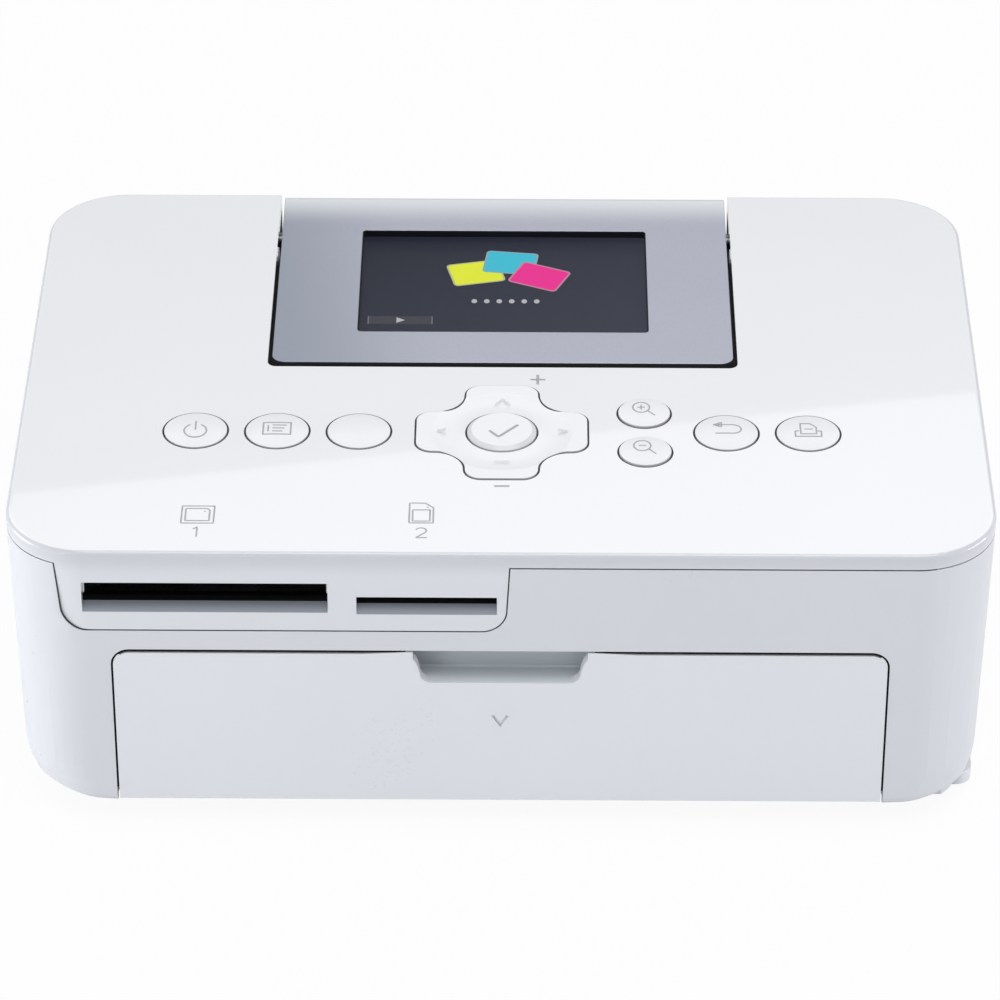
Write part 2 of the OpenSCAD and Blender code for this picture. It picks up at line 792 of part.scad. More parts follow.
module screen_back() {
    inner = screen_w / 2 - bezel_t - close;
    color("dimgray") {
        difference() {
            union() {
                span([-inner, screen_front + bezel_t + close, screen_low],
                    [inner, screen_axis_y - knuckle_r, screen_low + back_t]);
                for (x = [-post_x, post_x], y = [window_y - post_y, window_y + post_y])
                    translate([x, y, screen_low + back_t - nip])
                        cylinder(window_z - window_t - display_t - slack - screen_low - back_t, r = 1.8);
                both_sides() {
                    bar_x(knuckle_x0, knuckle_x1, screen_axis_y, screen_axis_z, knuckle_r);
                    span([knuckle_x0, screen_axis_y - knuckle_r - 1, screen_low],
                        [knuckle_x1, screen_axis_y, screen_low + back_t]);
                }
            }
            bar_x(-screen_w, screen_w, screen_axis_y, screen_axis_z, screen_pin_r + fit);
            // air slits in the back
            for (i = [-3:3]) span([i * 6 - 1, screen_front + 11.8, screen_low - over],
                [i * 6 + 1, screen_front + 21.8, screen_low + back_t + over]);
        }
    }
}

// ---- keypad ----
module power_button() { color("white") key(power_at); }
module menu_button() { color("white") key(menu_at); }
module edit_button() { color("white") key(edit_at); }
module zoom_in_button() { color("white") key(zoom_in_at); }
module zoom_out_button() { color("white") key(zoom_out_at); }
module back_button() { color("white") key(back_at); }
module print_button() { color("white") key(print_at); }

ok_rise = 1.1;
ok_flange_t = 0.45;
ok_flange_top = pad_flange_top - pad_flange_t - slack;
ok_chamfer = 0.8;

module ok_button() {
    r = ok_d / 2;
    top = case_h + ok_rise;
    color("white") translate([ok_at[0], ok_at[1], 0]) {
        rotate_extrude() polygon([[0, ok_flange_top - ok_flange_t], [r + 0.9, ok_flange_top - ok_flange_t],
            [r + 0.9, ok_flange_top], [r, ok_flange_top], [r, top - 0.6], [r - ok_chamfer, top], [0, top]]);
    }
}

module direction_pad() {
    top = case_h + key_rise;
    dish = 14;
    dish_at = 9.4;
    dish_half = 4;
    dish_deep = 0.5;
    color("white") translate([ok_at[0], ok_at[1], 0]) difference() {
        union() {
            along_z(pad_flange_top - pad_flange_t, pad_flange_top) pad_outline(1);
            along_z(pad_flange_top - nip, top) pad_outline(0);
        }
        translate([0, 0, pad_flange_top - pad_flange_t - over]) cylinder(10, r = ok_d / 2 + key_gap);
        // shallow ring-shaped dish round the middle key
        rotate_extrude() intersection() {
            translate([dish_at, top + dish - dish_deep]) circle(dish, $fn = 180);
            translate([dish_at - dish_half, top - 1]) square([2 * dish_half, 2]);
        }
    }
}

seat_in = 8.2;
seat_out = 9.4;
module pad_seat() {
    color("dimgray") translate([ok_at[0], ok_at[1], pad_flange_top - pad_flange_t - 0.75]) difference() {
        cylinder(0.5, r = seat_out);
        translate([0, 0, -over]) cylinder(3, r = seat_in);
    }
}

mat_x = 3.75 * key_pitch + 7.75;
mat_y0 = key_y - 15;
mat_y1 = key_y + 15;
module key_mat() {
    color("gray") {
        span([-mat_x, mat_y0, mat_low], [mat_x, mat_y1, mat_low + mat_sheet_t]);
        for (k = KEYS) translate([k[0], k[1], mat_low + mat_sheet_t - nip])
            cylinder(dome_h, r1 = dome_r, r2 = dome_r - 0.7);
        for (a = [0:3]) translate([ok_at[0], ok_at[1], mat_low + mat_sheet_t - nip]) rotate([0, 0, 90 * a])
            translate([pad_domes_at, 0, 0]) cylinder(dome_h - nip, r1 = dome_r - 0.4, r2 = dome_r - 1);
    }
}

module key_board() {
    half = max(mat_x + 2, guide_x + 8);
    color("seagreen") span([-half, mat_y0 - 1, mat_low - board_t], [half, mat_y1 + 1, mat_low]);
}

// ---- paper guide behind the paper door ----
guide_y = front_at(door_bottom) + 3.9;
guide_t = 1.6;
guide_x = print_w / 2 + 3;
guide_low = 9.8;
guide_floor = guide_low + 1.5;
guide_top = door_top - notch_h - 1.4;
guide_back = plate_front - 1.5;
guide_flange_x = door_w / 2 - 1.5;
guide_flange_top = housing_top - 18;
pickup_r = 5;
pickup_y = plate_front - 6.5;
pickup_z = guide_top - pickup_r - 0.5;
pickup_shaft_r = 1.8;

module paper_guide() {
    color("lightgray") difference() {
        union() {
            // flange that closes the space above and beside the paper mouth
            along_y(guide_y, guide_y + guide_t) difference() {
                round_rect(-guide_flange_x, guide_floor, guide_flange_x, guide_flange_top, 0, 2);
                translate([-guide_x, 0]) square([2 * guide_x, guide_top]);
            }
            span([-guide_x - guide_t, guide_y + guide_t - close, guide_low],
                [guide_x + guide_t, guide_back, guide_floor]);
            both_sides() span([guide_x, guide_y + guide_t - close, guide_low],
                [guide_x + guide_t, guide_back, guide_top]);
            // crease behind the finger notch
            along_x(-notch_w / 2 - 2, notch_w / 2 + 2) polygon([[guide_y + nip, door_top - notch_h / 2],
                [guide_y - 1.2, door_top - notch_h - 1.5], [guide_y + nip, door_top - notch_h - 1.5]]);
        }
        bar_x(-case_w, case_w, pickup_y, pickup_z, pickup_shaft_r + fit);
    }
}

module pickup_roller() {
    color("dimgray") {
        bar_x(-guide_x - guide_t - 1, guide_x + guide_t + 1, pickup_y, pickup_z, pickup_shaft_r);
        for (x = [-14, 14]) bar_x(x - 4, x + 4, pickup_y, pickup_z, pickup_r);
    }
}

// ---- card sockets ----
socket_t = 0.8;
socket_deep = 38;
small_socket_deep = 30;
socket_y = front_at(wide_slot_z) + wall + slack;

// Sheet-metal cage of a card socket, open to the front
module card_cage(x, w, z0, z1, deep) {
    difference() {
        span([x - socket_t, socket_y, z0 - socket_t], [x + w + socket_t, socket_y + deep, z1]);
        span([x, socket_y - over, z0], [x + w, socket_y + deep - socket_t, z1 - socket_t]);
    }
}

cage_top = mat_low - board_t - close;
small_socket_z = lip_top - 2;

module wide_card_socket() {
    color("silver")
        card_cage(wide_slot_x + slack, wide_slot_w - 2 * slack, lip_top - close, cage_top, socket_deep);
}

module small_card_socket() {
    color("silver") card_cage(small_slot_x + close, small_slot_w - 2 * close, small_socket_z,
        small_slot_top + 0.6, small_socket_deep);
}

card_board_z = lip_top - 4.6;
card_board_t = 1.2;
card_board_y0 = socket_y + 4;
card_pad_y0 = socket_y + 8;
module card_board() {
    color("seagreen") {
        span([wide_slot_x - 1, card_board_y0, card_board_z],
            [small_slot_x + small_slot_w + 4, card_board_y0 + socket_deep, card_board_z + card_board_t]);
        // pads that carry the two cages
        span([wide_slot_x + 4, card_pad_y0, card_board_z + card_board_t - nip],
            [wide_slot_x + wide_slot_w - 4, card_pad_y0 + 22, lip_top - close - socket_t]);
        span([small_slot_x + 3, card_pad_y0, card_board_z + card_board_t - nip],
            [small_slot_x + small_slot_w - 3, card_pad_y0 + 20, small_socket_z - socket_t]);
    }
}

// ---- boards and sockets ----
main_board_t = 1.6;
chip_h = 1;
module main_board() {
    color("seagreen") {
        span([-board_x, board_y0, board_z], [board_x, board_y1, board_z + main_board_t]);
        // processor, memory and motor driver
        for (chip = [[-20, 10, 14, 14], [8, 6, 10, 10], [24, 20, 14, 8]])
            translate([chip[0], board_y0 + chip[1], board_z + main_board_t - nip])
                cube([chip[2], chip[3], chip_h + nip]);
    }
}

jack_body = 4.6;
jack_deep = 11;
jack_y = rear_at(jack_z) - wall - slack;
jack_pin_r = 0.85;
jack_socket_r = 2.75;
module dc_jack() {
    color("black") {
        difference() {
            union() {
                along_y(jack_y - jack_deep, jack_y)
                    box_outline(jack_x, jack_z, 2 * jack_body, 2 * jack_body);
                bar_y(jack_y - nip, rear_at(jack_z) - 0.4, jack_x, jack_z, jack_hole_r - close);
            }
            bar_y(jack_y - jack_deep + 1.5, case_d, jack_x, jack_z, jack_socket_r);
        }
        bar_y(jack_y - jack_deep + 1.4, jack_y + 0.8, jack_x, jack_z, jack_pin_r);
    }
}

sheet_t = 0.4;
usb_deep = 9;
host_deep = 14;
module usb_device_port() {
    rear = rear_at(usb_z);
    w = usb_w - 2 * close;
    h = usb_h - 2 * close;
    color("silver") difference() {
        along_y(rear - usb_deep, rear - 0.5) box_outline(usb_x, usb_z, w, h);
        along_y(rear - usb_deep + over, case_d) box_outline(usb_x, usb_z, w - 2 * sheet_t, h - 2 * sheet_t);
    }
}

module usb_host_port() {
    left = -side_at(host_z);
    w = host_w - 2 * close;
    h = host_h - 2 * close;
    color("silver") {
        difference() {
            along_x(left + 0.5, left + host_deep) box_outline(host_y, host_z, w, h);
            along_x(-case_w, left + host_deep - over)
                box_outline(host_y, host_z, w - 2 * sheet_t, h - 2 * sheet_t);
        }
        // tongue with the contacts
        along_x(left + 2, left + host_deep - 0.8) box_outline(host_y, host_z + 1.3, 11.2, 1.8);
    }
}

port_board_t = 1.4;
module port_boards() {
    color("seagreen") {
        // boards under the rear sockets, on each side of the paper slot
        along_z(jack_z - jack_body - port_board_t, jack_z - jack_body)
            box_outline(jack_x, jack_y - 12, 2 * jack_body, 24);
        along_z(usb_z - usb_h / 2 + close - port_board_t, usb_z - usb_h / 2 + close)
            box_outline(usb_x - 0.5, rear_at(usb_z) - 11.5, 11, 17);
        // board under the side socket
        along_z(host_z - host_h / 2 + close - port_board_t, host_z - host_h / 2 + close)
            box_outline(-side_at(host_z) + 13.5, host_y, 21, 20);
    }
}

// Posts of the base that carry the port boards
module port_posts() {
    for (y = [jack_y - 20, jack_y - 3]) translate([jack_x, y, base_floor - nip])
        cylinder(jack_z - jack_body - port_board_t - base_floor + nip, r = 2.4);
    for (y = [rear_at(usb_z) - 17, rear_at(usb_z) - 6]) translate([usb_x, y, base_floor - nip])
        cylinder(usb_z - usb_h / 2 + close - port_board_t - base_floor + nip, r = 2.4);
    for (y = [host_y - 6, host_y + 6]) translate([-side_at(host_z) + 19, y, base_floor - nip])
        cylinder(host_z - host_h / 2 + close - port_board_t - base_floor + nip, r = 2.6);
}

// ---- gears ----
platen_teeth = 42;
pinion_teeth = 14;
idler_teeth = 25;
feed_teeth = 36;
takeup_teeth = 56;
mesh_gap = 0.06;
backlash = 0.12;
pressure = 20;

function pitch_r(teeth) = gear_module * teeth / 2;
function reach(a, b) = pitch_r(a) + pitch_r(b) + mesh_gap;
// Turn that puts a gear in mesh with its neighbour, from both counts of teeth, the line between their axes
// and the neighbour's turn
function mesh_turn(other, teeth, line, turn) = line + 180 - 180 / teeth + (line - turn) * other / teeth;
// Point on an involute, after rolling through t degrees
function roll(base, t) = [base * (cos(t) + t * PI / 180 * sin(t)), base * (sin(t) - t * PI / 180 * cos(t))];
// Roll at which the involute reaches radius r
function roll_to(base, r) = r > base ? sqrt(pow(r / base, 2) - 1) * 180 / PI : 0;
function polar(p) = [norm(p), atan2(p[1], p[0])];

// Outline of a spur gear with a tooth centred on its first axis
module gear_outline(teeth) {
    r = pitch_r(teeth);
    base = r * cos(pressure);
    tip = r + gear_module;
    root = r - 1.25 * gear_module;
    at_pitch = polar(roll(base, roll_to(base, r)))[1];
    half = 90 / teeth - backlash / (2 * r) * 180 / PI + at_pitch;
    steps = 3;
    start = roll_to(base, max(base, root));
    end = roll_to(base, tip);
    flank = [for (i = [0:steps]) polar(roll(base, start + (end - start) * i / steps))];
    polygon([for (k = [0:teeth - 1], side = [-1, 1], i = [0:steps + 1])
        let (
            j = side < 0 ? i - 1 : steps - i,
            foot = side < 0 ? i == 0 : i == steps + 1,
            f = foot ? [root, flank[0][1]] : flank[j],
            a = k * 360 / teeth + side * (half - f[1])
        ) f[0] * [cos(a), sin(a)]]);
}

// Gear on an axis along X, turned by a, between x0 and x1
module gear_x(teeth, x0, x1, y, z, a) {
    translate([x0, y, z]) rotate([90, 0, 90]) rotate([0, 0, a]) linear_extrude(x1 - x0) gear_outline(teeth);
}

// ---- print mechanism places ----
gear_gap = 0.4;
inner_gear_x1 = plate_left - plate_t - gear_gap;
inner_gear_x0 = inner_gear_x1 - 2.2;
outer_gear_x1 = inner_gear_x0 - gear_gap;
outer_gear_x0 = outer_gear_x1 - 2.2;
bracket_x1 = outer_gear_x0 - gear_gap;
bracket_x0 = bracket_x1 - 1.4;
feed_drop = platen_r - feed_r;
feed_z = platen_z + feed_drop;
feed_reach = reach(platen_teeth, idler_teeth) + reach(idler_teeth, feed_teeth);
feed_y = print_y + sqrt(pow(feed_reach, 2) - pow(feed_drop, 2));
feed_line = atan2(feed_z - platen_z, feed_y - print_y);
idler_y = print_y + reach(platen_teeth, idler_teeth) * cos(feed_line);
idler_z = platen_z + reach(platen_teeth, idler_teeth) * sin(feed_line);
takeup_z = platen_z + sqrt(pow(reach(platen_teeth, takeup_teeth), 2) - pow(spool_dy, 2));
takeup_line = atan2(takeup_z - platen_z, takeup_y - print_y);
cassette_gap = 0.8;
pinion_line = 192;
motor_y = print_y + reach(platen_teeth, pinion_teeth) * cos(pinion_line);
motor_z = platen_z + reach(platen_teeth, pinion_teeth) * sin(pinion_line);
motor_r = motor_size * snug;
motor_x0 = -side_at(base_floor) + wall + 2;
motor_shaft_r = 1;
shaft_r = 2;
stud_r = 1.2;
pinch_r = pinch_size * snug;
pinch_z = paper_z + 0.4 + pinch_r;
head_pivot_y = pivot_behind * snug;
head_pivot_z = pivot_height * snug;
spool_core_r = core_size * snug;
spool_x0 = plate_left + 3.4;
spool_x1 = print_w / 2 + 4;
roll_x = print_w / 2;
supply_roll_r = supply_roll_size * snug;
takeup_roll_r = takeup_roll_size * snug;
film_z = paper_z + 0.3;
film_t = 0.2;

module roller_bores(grow) {
    bar_x(-case_w, case_w, print_y, platen_z, shaft_r + grow);
    bar_x(-case_w, case_w, feed_y, feed_z, shaft_r + grow);
}

module chassis_frame() {
    color("lightsteelblue") {
        for (x = [plate_left - plate_t, plate_right]) difference() {
            along_x(x, x + plate_t) difference() {
                round_rect(plate_front, base_floor + slack, plate_rear, plate_top, 1, 4);
                // way for the ribbon cassette in the right plate
                if (x > 0) translate([supply_y - tube_r - cassette_gap, takeup_z - tube_r - cassette_gap])
                    square([2 * (spool_dy + tube_r + cassette_gap), 60]);
            }
            roller_bores(2);
            bar_x(-case_w, case_w, feed_y, pinch_z, shaft_r * 0.75 + fit);
            bar_x(-case_w, case_w, head_pivot_y, head_pivot_z, shaft_r + fit);
            if (x < 0) {
                bar_x(-case_w, 0, takeup_y, takeup_z, 3 + fit);
                bar_x(-case_w, 0, idler_y, idler_z, stud_r);
            }
        }
        // cross plate under the rollers
        span([plate_left - nip, print_y - 9 * snug, base_floor + slack],
            [plate_right + nip, feed_y + 4, base_floor + 1.6]);
        // plate that guides the paper between the rollers
        span([plate_left - nip, print_y + 8, paper_z - 3.4],
            [plate_right + nip, feed_y - feed_r - 2.5, paper_z - 2.2]);
    }
}

module roller_bushes() {
    color("gold") for (x = [plate_left - plate_t, plate_right], p = [[print_y, platen_z], [feed_y, feed_z]])
        difference() {
            union() {
                bar_x(x, x + plate_t, p[0], p[1], shaft_r + 2);
                bar_x(x < 0 ? x + plate_t : x - 1, x < 0 ? x + plate_t + 1 : x, p[0], p[1], shaft_r + 3);
            }
            bar_x(-case_w, case_w, p[0], p[1], shaft_r + fit);
        }
}

// Roller with its shaft through both bushes
module roller(y, z, r, half) {
    bar_x(plate_left + 2.8, plate_right - 2.8, y, z, r > feed_r ? 3 : shaft_r);
    bar_x(bracket_x0, plate_right + plate_t + 0.6, y, z, shaft_r);
    bar_x(-half, half, y, z, r);
}

module platen_roller() {
    color("dimgray") roller(print_y, platen_z, platen_r, print_w / 2 + 1);
}

module feed_roller() {
    color("silver") roller(feed_y, feed_z, feed_r, print_w / 2 + 1);
}

module pinch_roller() {
    color("gray") {
        bar_x(plate_left - plate_t - 0.3, plate_right + plate_t + 1, feed_y, pinch_z, shaft_r * 0.75);
        bar_x(-print_w / 2 - 1, print_w / 2 + 1, feed_y, pinch_z, pinch_r);
    }
}

module bored_gear(teeth, x0, x1, y, z, a, hole) {
    difference() {
        gear_x(teeth, x0, x1, y, z, a);
        bar_x(x0 - over, x1 + over, y, z, hole);
    }
}

idler_turn = mesh_turn(platen_teeth, idler_teeth, feed_line, 0);
feed_turn = mesh_turn(idler_teeth, feed_teeth, feed_line, idler_turn);
takeup_turn = mesh_turn(platen_teeth, takeup_teeth, takeup_line, 0);
pinion_turn = mesh_turn(platen_teeth, pinion_teeth, pinion_line, 0);

module platen_gear() {
    color("ivory") bored_gear(platen_teeth, outer_gear_x0, inner_gear_x1, print_y, platen_z, 0, shaft_r);
}

module feed_gear() {
    color("ivory") bored_gear(feed_teeth, inner_gear_x0, inner_gear_x1, feed_y, feed_z, feed_turn, shaft_r);
}

module idler_gear() {
    color("ivory")
        bored_gear(idler_teeth, inner_gear_x0, inner_gear_x1, idler_y, idler_z, idler_turn, stud_r + fit);
}

module idler_stud() {
    color("silver") {
        bar_x(inner_gear_x0 - close, plate_left, idler_y, idler_z, stud_r);
        bar_x(inner_gear_x0 - 0.9, inner_gear_x0 - close, idler_y, idler_z, 2);
    }
}

module takeup_gear() {
    color("ivory") {
        gear_x(takeup_teeth, outer_gear_x0, outer_gear_x1, takeup_y, takeup_z, takeup_turn);
        bar_x(outer_gear_x1 - nip, plate_left + 0.6, takeup_y, takeup_z, 3);
        bar_x(plate_left + 0.5, spool_x0 + 3, takeup_y, takeup_z, 2);
    }
}

module motor() {
    color("silver") {
        bar_x(motor_x0, bracket_x0, motor_y, motor_z, motor_r);
        bar_x(motor_x0 - 1.2, motor_x0 + nip, motor_y, motor_z, 3);
    }
}

module motor_pinion() {
    color("goldenrod") {
        gear_x(pinion_teeth, outer_gear_x0, outer_gear_x1, motor_y, motor_z, pinion_turn);
        bar_x(bracket_x0 + close, outer_gear_x0 + nip, motor_y, motor_z, motor_shaft_r);
    }
}

module motor_bracket() {
    color("lightsteelblue") {
        difference() {
            along_x(bracket_x0, bracket_x1) round_rect(motor_y - 9 * snug, base_floor + slack,
                print_y + 16 * snug, motor_z + 14 * snug, 1, 3);
            bar_x(-case_w, 0, motor_y, motor_z, motor_shaft_r + 0.6);
            bar_x(-case_w, 0, print_y, platen_z, shaft_r + fit);
        }
        // pillars that hold the bracket on the chassis
        for (p = [[motor_y - 6 * snug, motor_z + 10.6 * snug], [print_y + 13.2 * snug, base_floor + 3.2],
            [motor_y - 6.5 * snug, base_floor + 3.2]])
            bar_x(bracket_x1 - nip, plate_left - plate_t, p[0], p[1], 1.6);
    }
}

// ---- ribbon cassette ----
tube_t = 1.2;
end_t = 2;
cassette_x0 = spool_x0 + 0.4;
cassette_x1 = spool_x1 + 1;
grip_x1 = case_w / 2 - 9;
// Mouths of the tubes, through which the film runs, and their distance from the print line
mouth_w = mouth_size * snug;
mouth_dy = mouth_line * snug;
spool_z = takeup_z;

module cassette_ends_outline() {
    translate([supply_y, spool_z]) circle(tube_r);
    translate([takeup_y, spool_z]) circle(tube_r);
    translate([supply_y, spool_z - tube_r + 2]) square([2 * spool_dy, 2 * tube_r - 4]);
}

module ribbon_cassette() {
    color([0.25, 0.27, 0.3]) {
        // two tubes round the rolls, open where the film leaves them
        along_x(cassette_x0, cassette_x1) for (s = [-1, 1]) difference() {
            translate([print_y + s * spool_dy, spool_z]) circle(tube_r);
            translate([print_y + s * spool_dy, spool_z]) circle(tube_r - tube_t);
            translate([print_y + s * mouth_dy - mouth_w / 2, spool_z - tube_r - over])
                square([mouth_w, mouth_w]);
        }
        difference() {
            union() {
                along_x(cassette_x0, cassette_x0 + end_t) cassette_ends_outline();
                along_x(cassette_x1 - end_t, cassette_x1) cassette_ends_outline();
                along_x(cassette_x1 - nip, grip_x1) difference() {
                    cassette_ends_outline();
                    translate([supply_y, spool_z + 4]) square([2 * spool_dy, tube_r]);
                    translate([supply_y, spool_z - tube_r]) square([2 * spool_dy, tube_r - 4]);
                }
            }
            for (y = [supply_y, takeup_y])
                bar_x(cassette_x0 - over, spool_x1 + slack, y, spool_z, spool_core_r + fit);
        }
    }
}

module spool(y) {
    difference() {
        bar_x(spool_x0, spool_x1, y, spool_z, spool_core_r);
        bar_x(spool_x0 - over, spool_x0 + 4, y, spool_z, 2 + fit);
    }
}

// Ribbon wound on its core
module ribbon_roll(y, r) {
    difference() {
        bar_x(-roll_x, roll_x, y, spool_z, r);
        bar_x(-roll_x - over, roll_x + over, y, spool_z, spool_core_r);
    }
}

module supply_spool() { color("white") spool(supply_y); }
module takeup_spool() { color("white") spool(takeup_y); }
module supply_roll() { color("goldenrod") ribbon_roll(supply_y, supply_roll_r); }
module takeup_roll() { color("indigo") ribbon_roll(takeup_y, takeup_roll_r); }

// Film stretched under the print head, from one tube's mouth to the other's
module ribbon_film() {
    rise = 2 * snug;
    in0 = supply_y + 5.5 * snug;
    low0 = supply_y + 8.5 * snug;
    low1 = takeup_y - 10 * snug;
    in1 = takeup_y - 7.5 * snug;
    color("goldenrod") along_x(-roll_x + 1, roll_x - 1) polygon([
        [in0, film_z + rise], [low0, film_z], [low1, film_z], [in1, film_z + rise],
        [in1, film_z + rise + film_t], [low1, film_z + film_t], [low0, film_z + film_t],
        [in0, film_z + rise + film_t]]);
}

// ---- print head ----
head_x = print_w / 2 - 5;
head_w = head_size * snug;
arm_w = 2.4;
eye_r = 3.4;
pivot_y1 = head_pivot_y + eye_r;
arm_z0 = spool_z + tube_r + 0.7;
arm_z1 = arm_z0 + 2.2;
sink_top = spool_z + tube_r;

module thermal_head() {
    nose = film_z + film_t + slack;
    color("silver") {
        // finned heat sink over a narrow nose
        difference() {
            along_x(-head_x, head_x) polygon([[print_y - 1.6, nose], [print_y + 1.6, nose],
                [print_y + head_w / 2, nose + 4 * snug], [print_y + head_w / 2, sink_top],
                [print_y - head_w / 2, sink_top], [print_y - head_w / 2, nose + 4 * snug]]);
            for (y = [print_y - 2.6 * snug, print_y + close * snug])
                span([-head_x - over, y, nose + 9 * snug], [head_x + over, y + 2.4 * snug, sink_top + over]);
        }
        both_sides() along_x(head_x, head_x + arm_w) {
            // arm from the heat sink back to the pivot
            translate([print_y - head_w / 2, arm_z0])
                square([pivot_y1 - print_y + head_w / 2, arm_z1 - arm_z0]);
            translate([print_y - head_w / 2, nose + 6 * snug]) square([head_w, arm_z1 - nose - 6 * snug]);
            translate([head_pivot_y - eye_r, head_pivot_z]) square([2 * eye_r, arm_z1 - head_pivot_z]);
            translate([head_pivot_y, head_pivot_z]) circle(eye_r);
        }
        bar_x(plate_left - plate_t - 0.5, plate_right + plate_t + 0.5, head_pivot_y, head_pivot_z, shaft_r);
    }
}

// ---- cooling fan ----
fan_s = 25;
fan_t = 7;
fan_y = vent_y1 - 13;
fan_z = 36;
fan_x0 = -side_at(fan_z - fan_s / 2) + wall + slack;
fan_hub_r = 4.5;

module fan_frame() {
    color([0.15, 0.15, 0.16]) {
        difference() {
            along_x(fan_x0, fan_x0 + fan_t)
                round_rect(fan_y - fan_s / 2, fan_z - fan_s / 2, fan_y + fan_s / 2, fan_z + fan_s / 2, 2, 2);
            bar_x(fan_x0 - over, fan_x0 + fan_t + over, fan_y, fan_z, fan_s / 2 - 0.9);
        }
        // struts and the seat of the rotor
        for (a = [0:3]) translate([fan_x0 + fan_t - 1, fan_y, fan_z]) rotate([45 + 90 * a, 0, 0])
            translate([0, 2, -0.7]) cube([1, fan_s / 2 - 2.5, 1.4]);
        bar_x(fan_x0 + fan_t - 1, fan_x0 + fan_t, fan_y, fan_z, fan_hub_r);
        bar_x(fan_x0 + 3.2, fan_x0 + fan_t - 0.9, fan_y, fan_z, 1);
    }
}

module fan_rotor() {
    color([0.2, 0.2, 0.21]) {
        difference() {
            bar_x(fan_x0 + 0.8, fan_x0 + fan_t - 1.4, fan_y, fan_z, fan_hub_r);
            bar_x(fan_x0 + 2.8, fan_x0 + fan_t, fan_y, fan_z, 1 + fit);
        }
        for (a = [0:6]) translate([fan_x0 + 1, fan_y, fan_z]) rotate([360 / 7 * a, 0, 0])
            along_x(0, 4.2) polygon([[fan_hub_r - 0.4, -0.5], [fan_s / 2 - 2, 0.6], [fan_s / 2 - 2, 1.5],
                [fan_hub_r - 0.4, 0.5]]);
    }
}

// ---- flat cables ----
cable_t = 0.25;
riser_x = guide_x + 6;
module flat_cables() {
    board_top = board_z + main_board_t;
    well_y = screen_front - 3.6;
    end_y = screen_axis_y - 12.5;
    well_low = well_floor - well_t;
    color("white") {
        // key board down to the main board
        along_y(board_y0 + 20, board_y0 + 30) polygon([[board_x - 6, board_top], [riser_x, board_top],
            [riser_x, mat_low - board_t], [riser_x - cable_t, mat_low - board_t],
            [riser_x - cable_t, board_top + cable_t], [board_x - 6, board_top + cable_t]]);
        // key board to the screen hinge, under the well
        along_x(-8, 8) polygon([[mat_y1 - 4, mat_low - board_t], [well_y, mat_low - board_t],
            [well_y, well_low], [end_y, well_low], [end_y, well_low - cable_t],
            [well_y - cable_t, well_low - cable_t], [well_y - cable_t, mat_low - board_t - cable_t],
            [mat_y1 - 4, mat_low - board_t - cable_t]]);
    }
}

base_tray();
housing();
top_cover();
rubber_feet();
case_screws();
paper_door();
ink_door();
screen_well();
screen_hinge_pins();
screen_bezel();
screen_window();
screen_display();
screen_back();
power_button();
menu_button();
edit_button();
zoom_in_button();
zoom_out_button();
back_button();
print_button();
ok_button();
direction_pad();
pad_seat();
key_mat();
key_board();
paper_guide();
pickup_roller();
wide_card_socket();
small_card_socket();
card_board();
main_board();
dc_jack();
usb_device_port();
usb_host_port();
port_boards();
chassis_frame();
roller_bushes();
platen_roller();
feed_roller();
pinch_roller();
platen_gear();
feed_gear();
idler_gear();
idler_stud();
takeup_gear();
motor();
motor_pinion();
motor_bracket();
ribbon_cassette();
supply_spool();
takeup_spool();
supply_roll();
takeup_roll();
ribbon_film();
thermal_head();
fan_frame();
fan_rotor();
flat_cables();
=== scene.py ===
import json
import math

import bmesh
import bpy
from mathutils import Matrix, Vector


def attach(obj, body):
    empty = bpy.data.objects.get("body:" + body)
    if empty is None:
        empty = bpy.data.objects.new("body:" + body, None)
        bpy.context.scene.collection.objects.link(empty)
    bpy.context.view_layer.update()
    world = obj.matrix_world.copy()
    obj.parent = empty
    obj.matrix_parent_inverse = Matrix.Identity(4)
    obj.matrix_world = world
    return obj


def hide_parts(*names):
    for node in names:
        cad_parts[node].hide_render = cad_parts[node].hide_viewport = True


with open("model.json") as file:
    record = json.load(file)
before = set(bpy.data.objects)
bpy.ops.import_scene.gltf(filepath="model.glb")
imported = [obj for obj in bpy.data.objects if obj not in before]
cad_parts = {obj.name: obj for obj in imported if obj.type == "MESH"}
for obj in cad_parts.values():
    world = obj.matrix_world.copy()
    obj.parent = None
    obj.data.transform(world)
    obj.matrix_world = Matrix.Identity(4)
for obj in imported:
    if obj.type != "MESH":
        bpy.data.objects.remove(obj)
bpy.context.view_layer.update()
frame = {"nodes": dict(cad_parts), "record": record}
record = frame["record"]
SLOT_OF = {part["node"]: part["material_slot"] for part in record["subparts"]}
BODY_OF = {node: body for body, nodes in record["behaviour"]["bodies"].items() for node in nodes}
MM = 0.001  # lengths below are in millimetres unless they say otherwise


# ---- the view ----

LENS_PX = 5058.0
FRAME_PX = 1000.0
SENSOR_MM = 36.0
VIEW_DISTANCE = 0.96553
VIEW_ELEVATION = math.radians(33.527)
VIEW_YAW = math.radians(0.316)
VIEW_ROLL = math.radians(0.109)
VIEW_TARGET = Vector((-0.44, 0.0, 29.99)) * MM


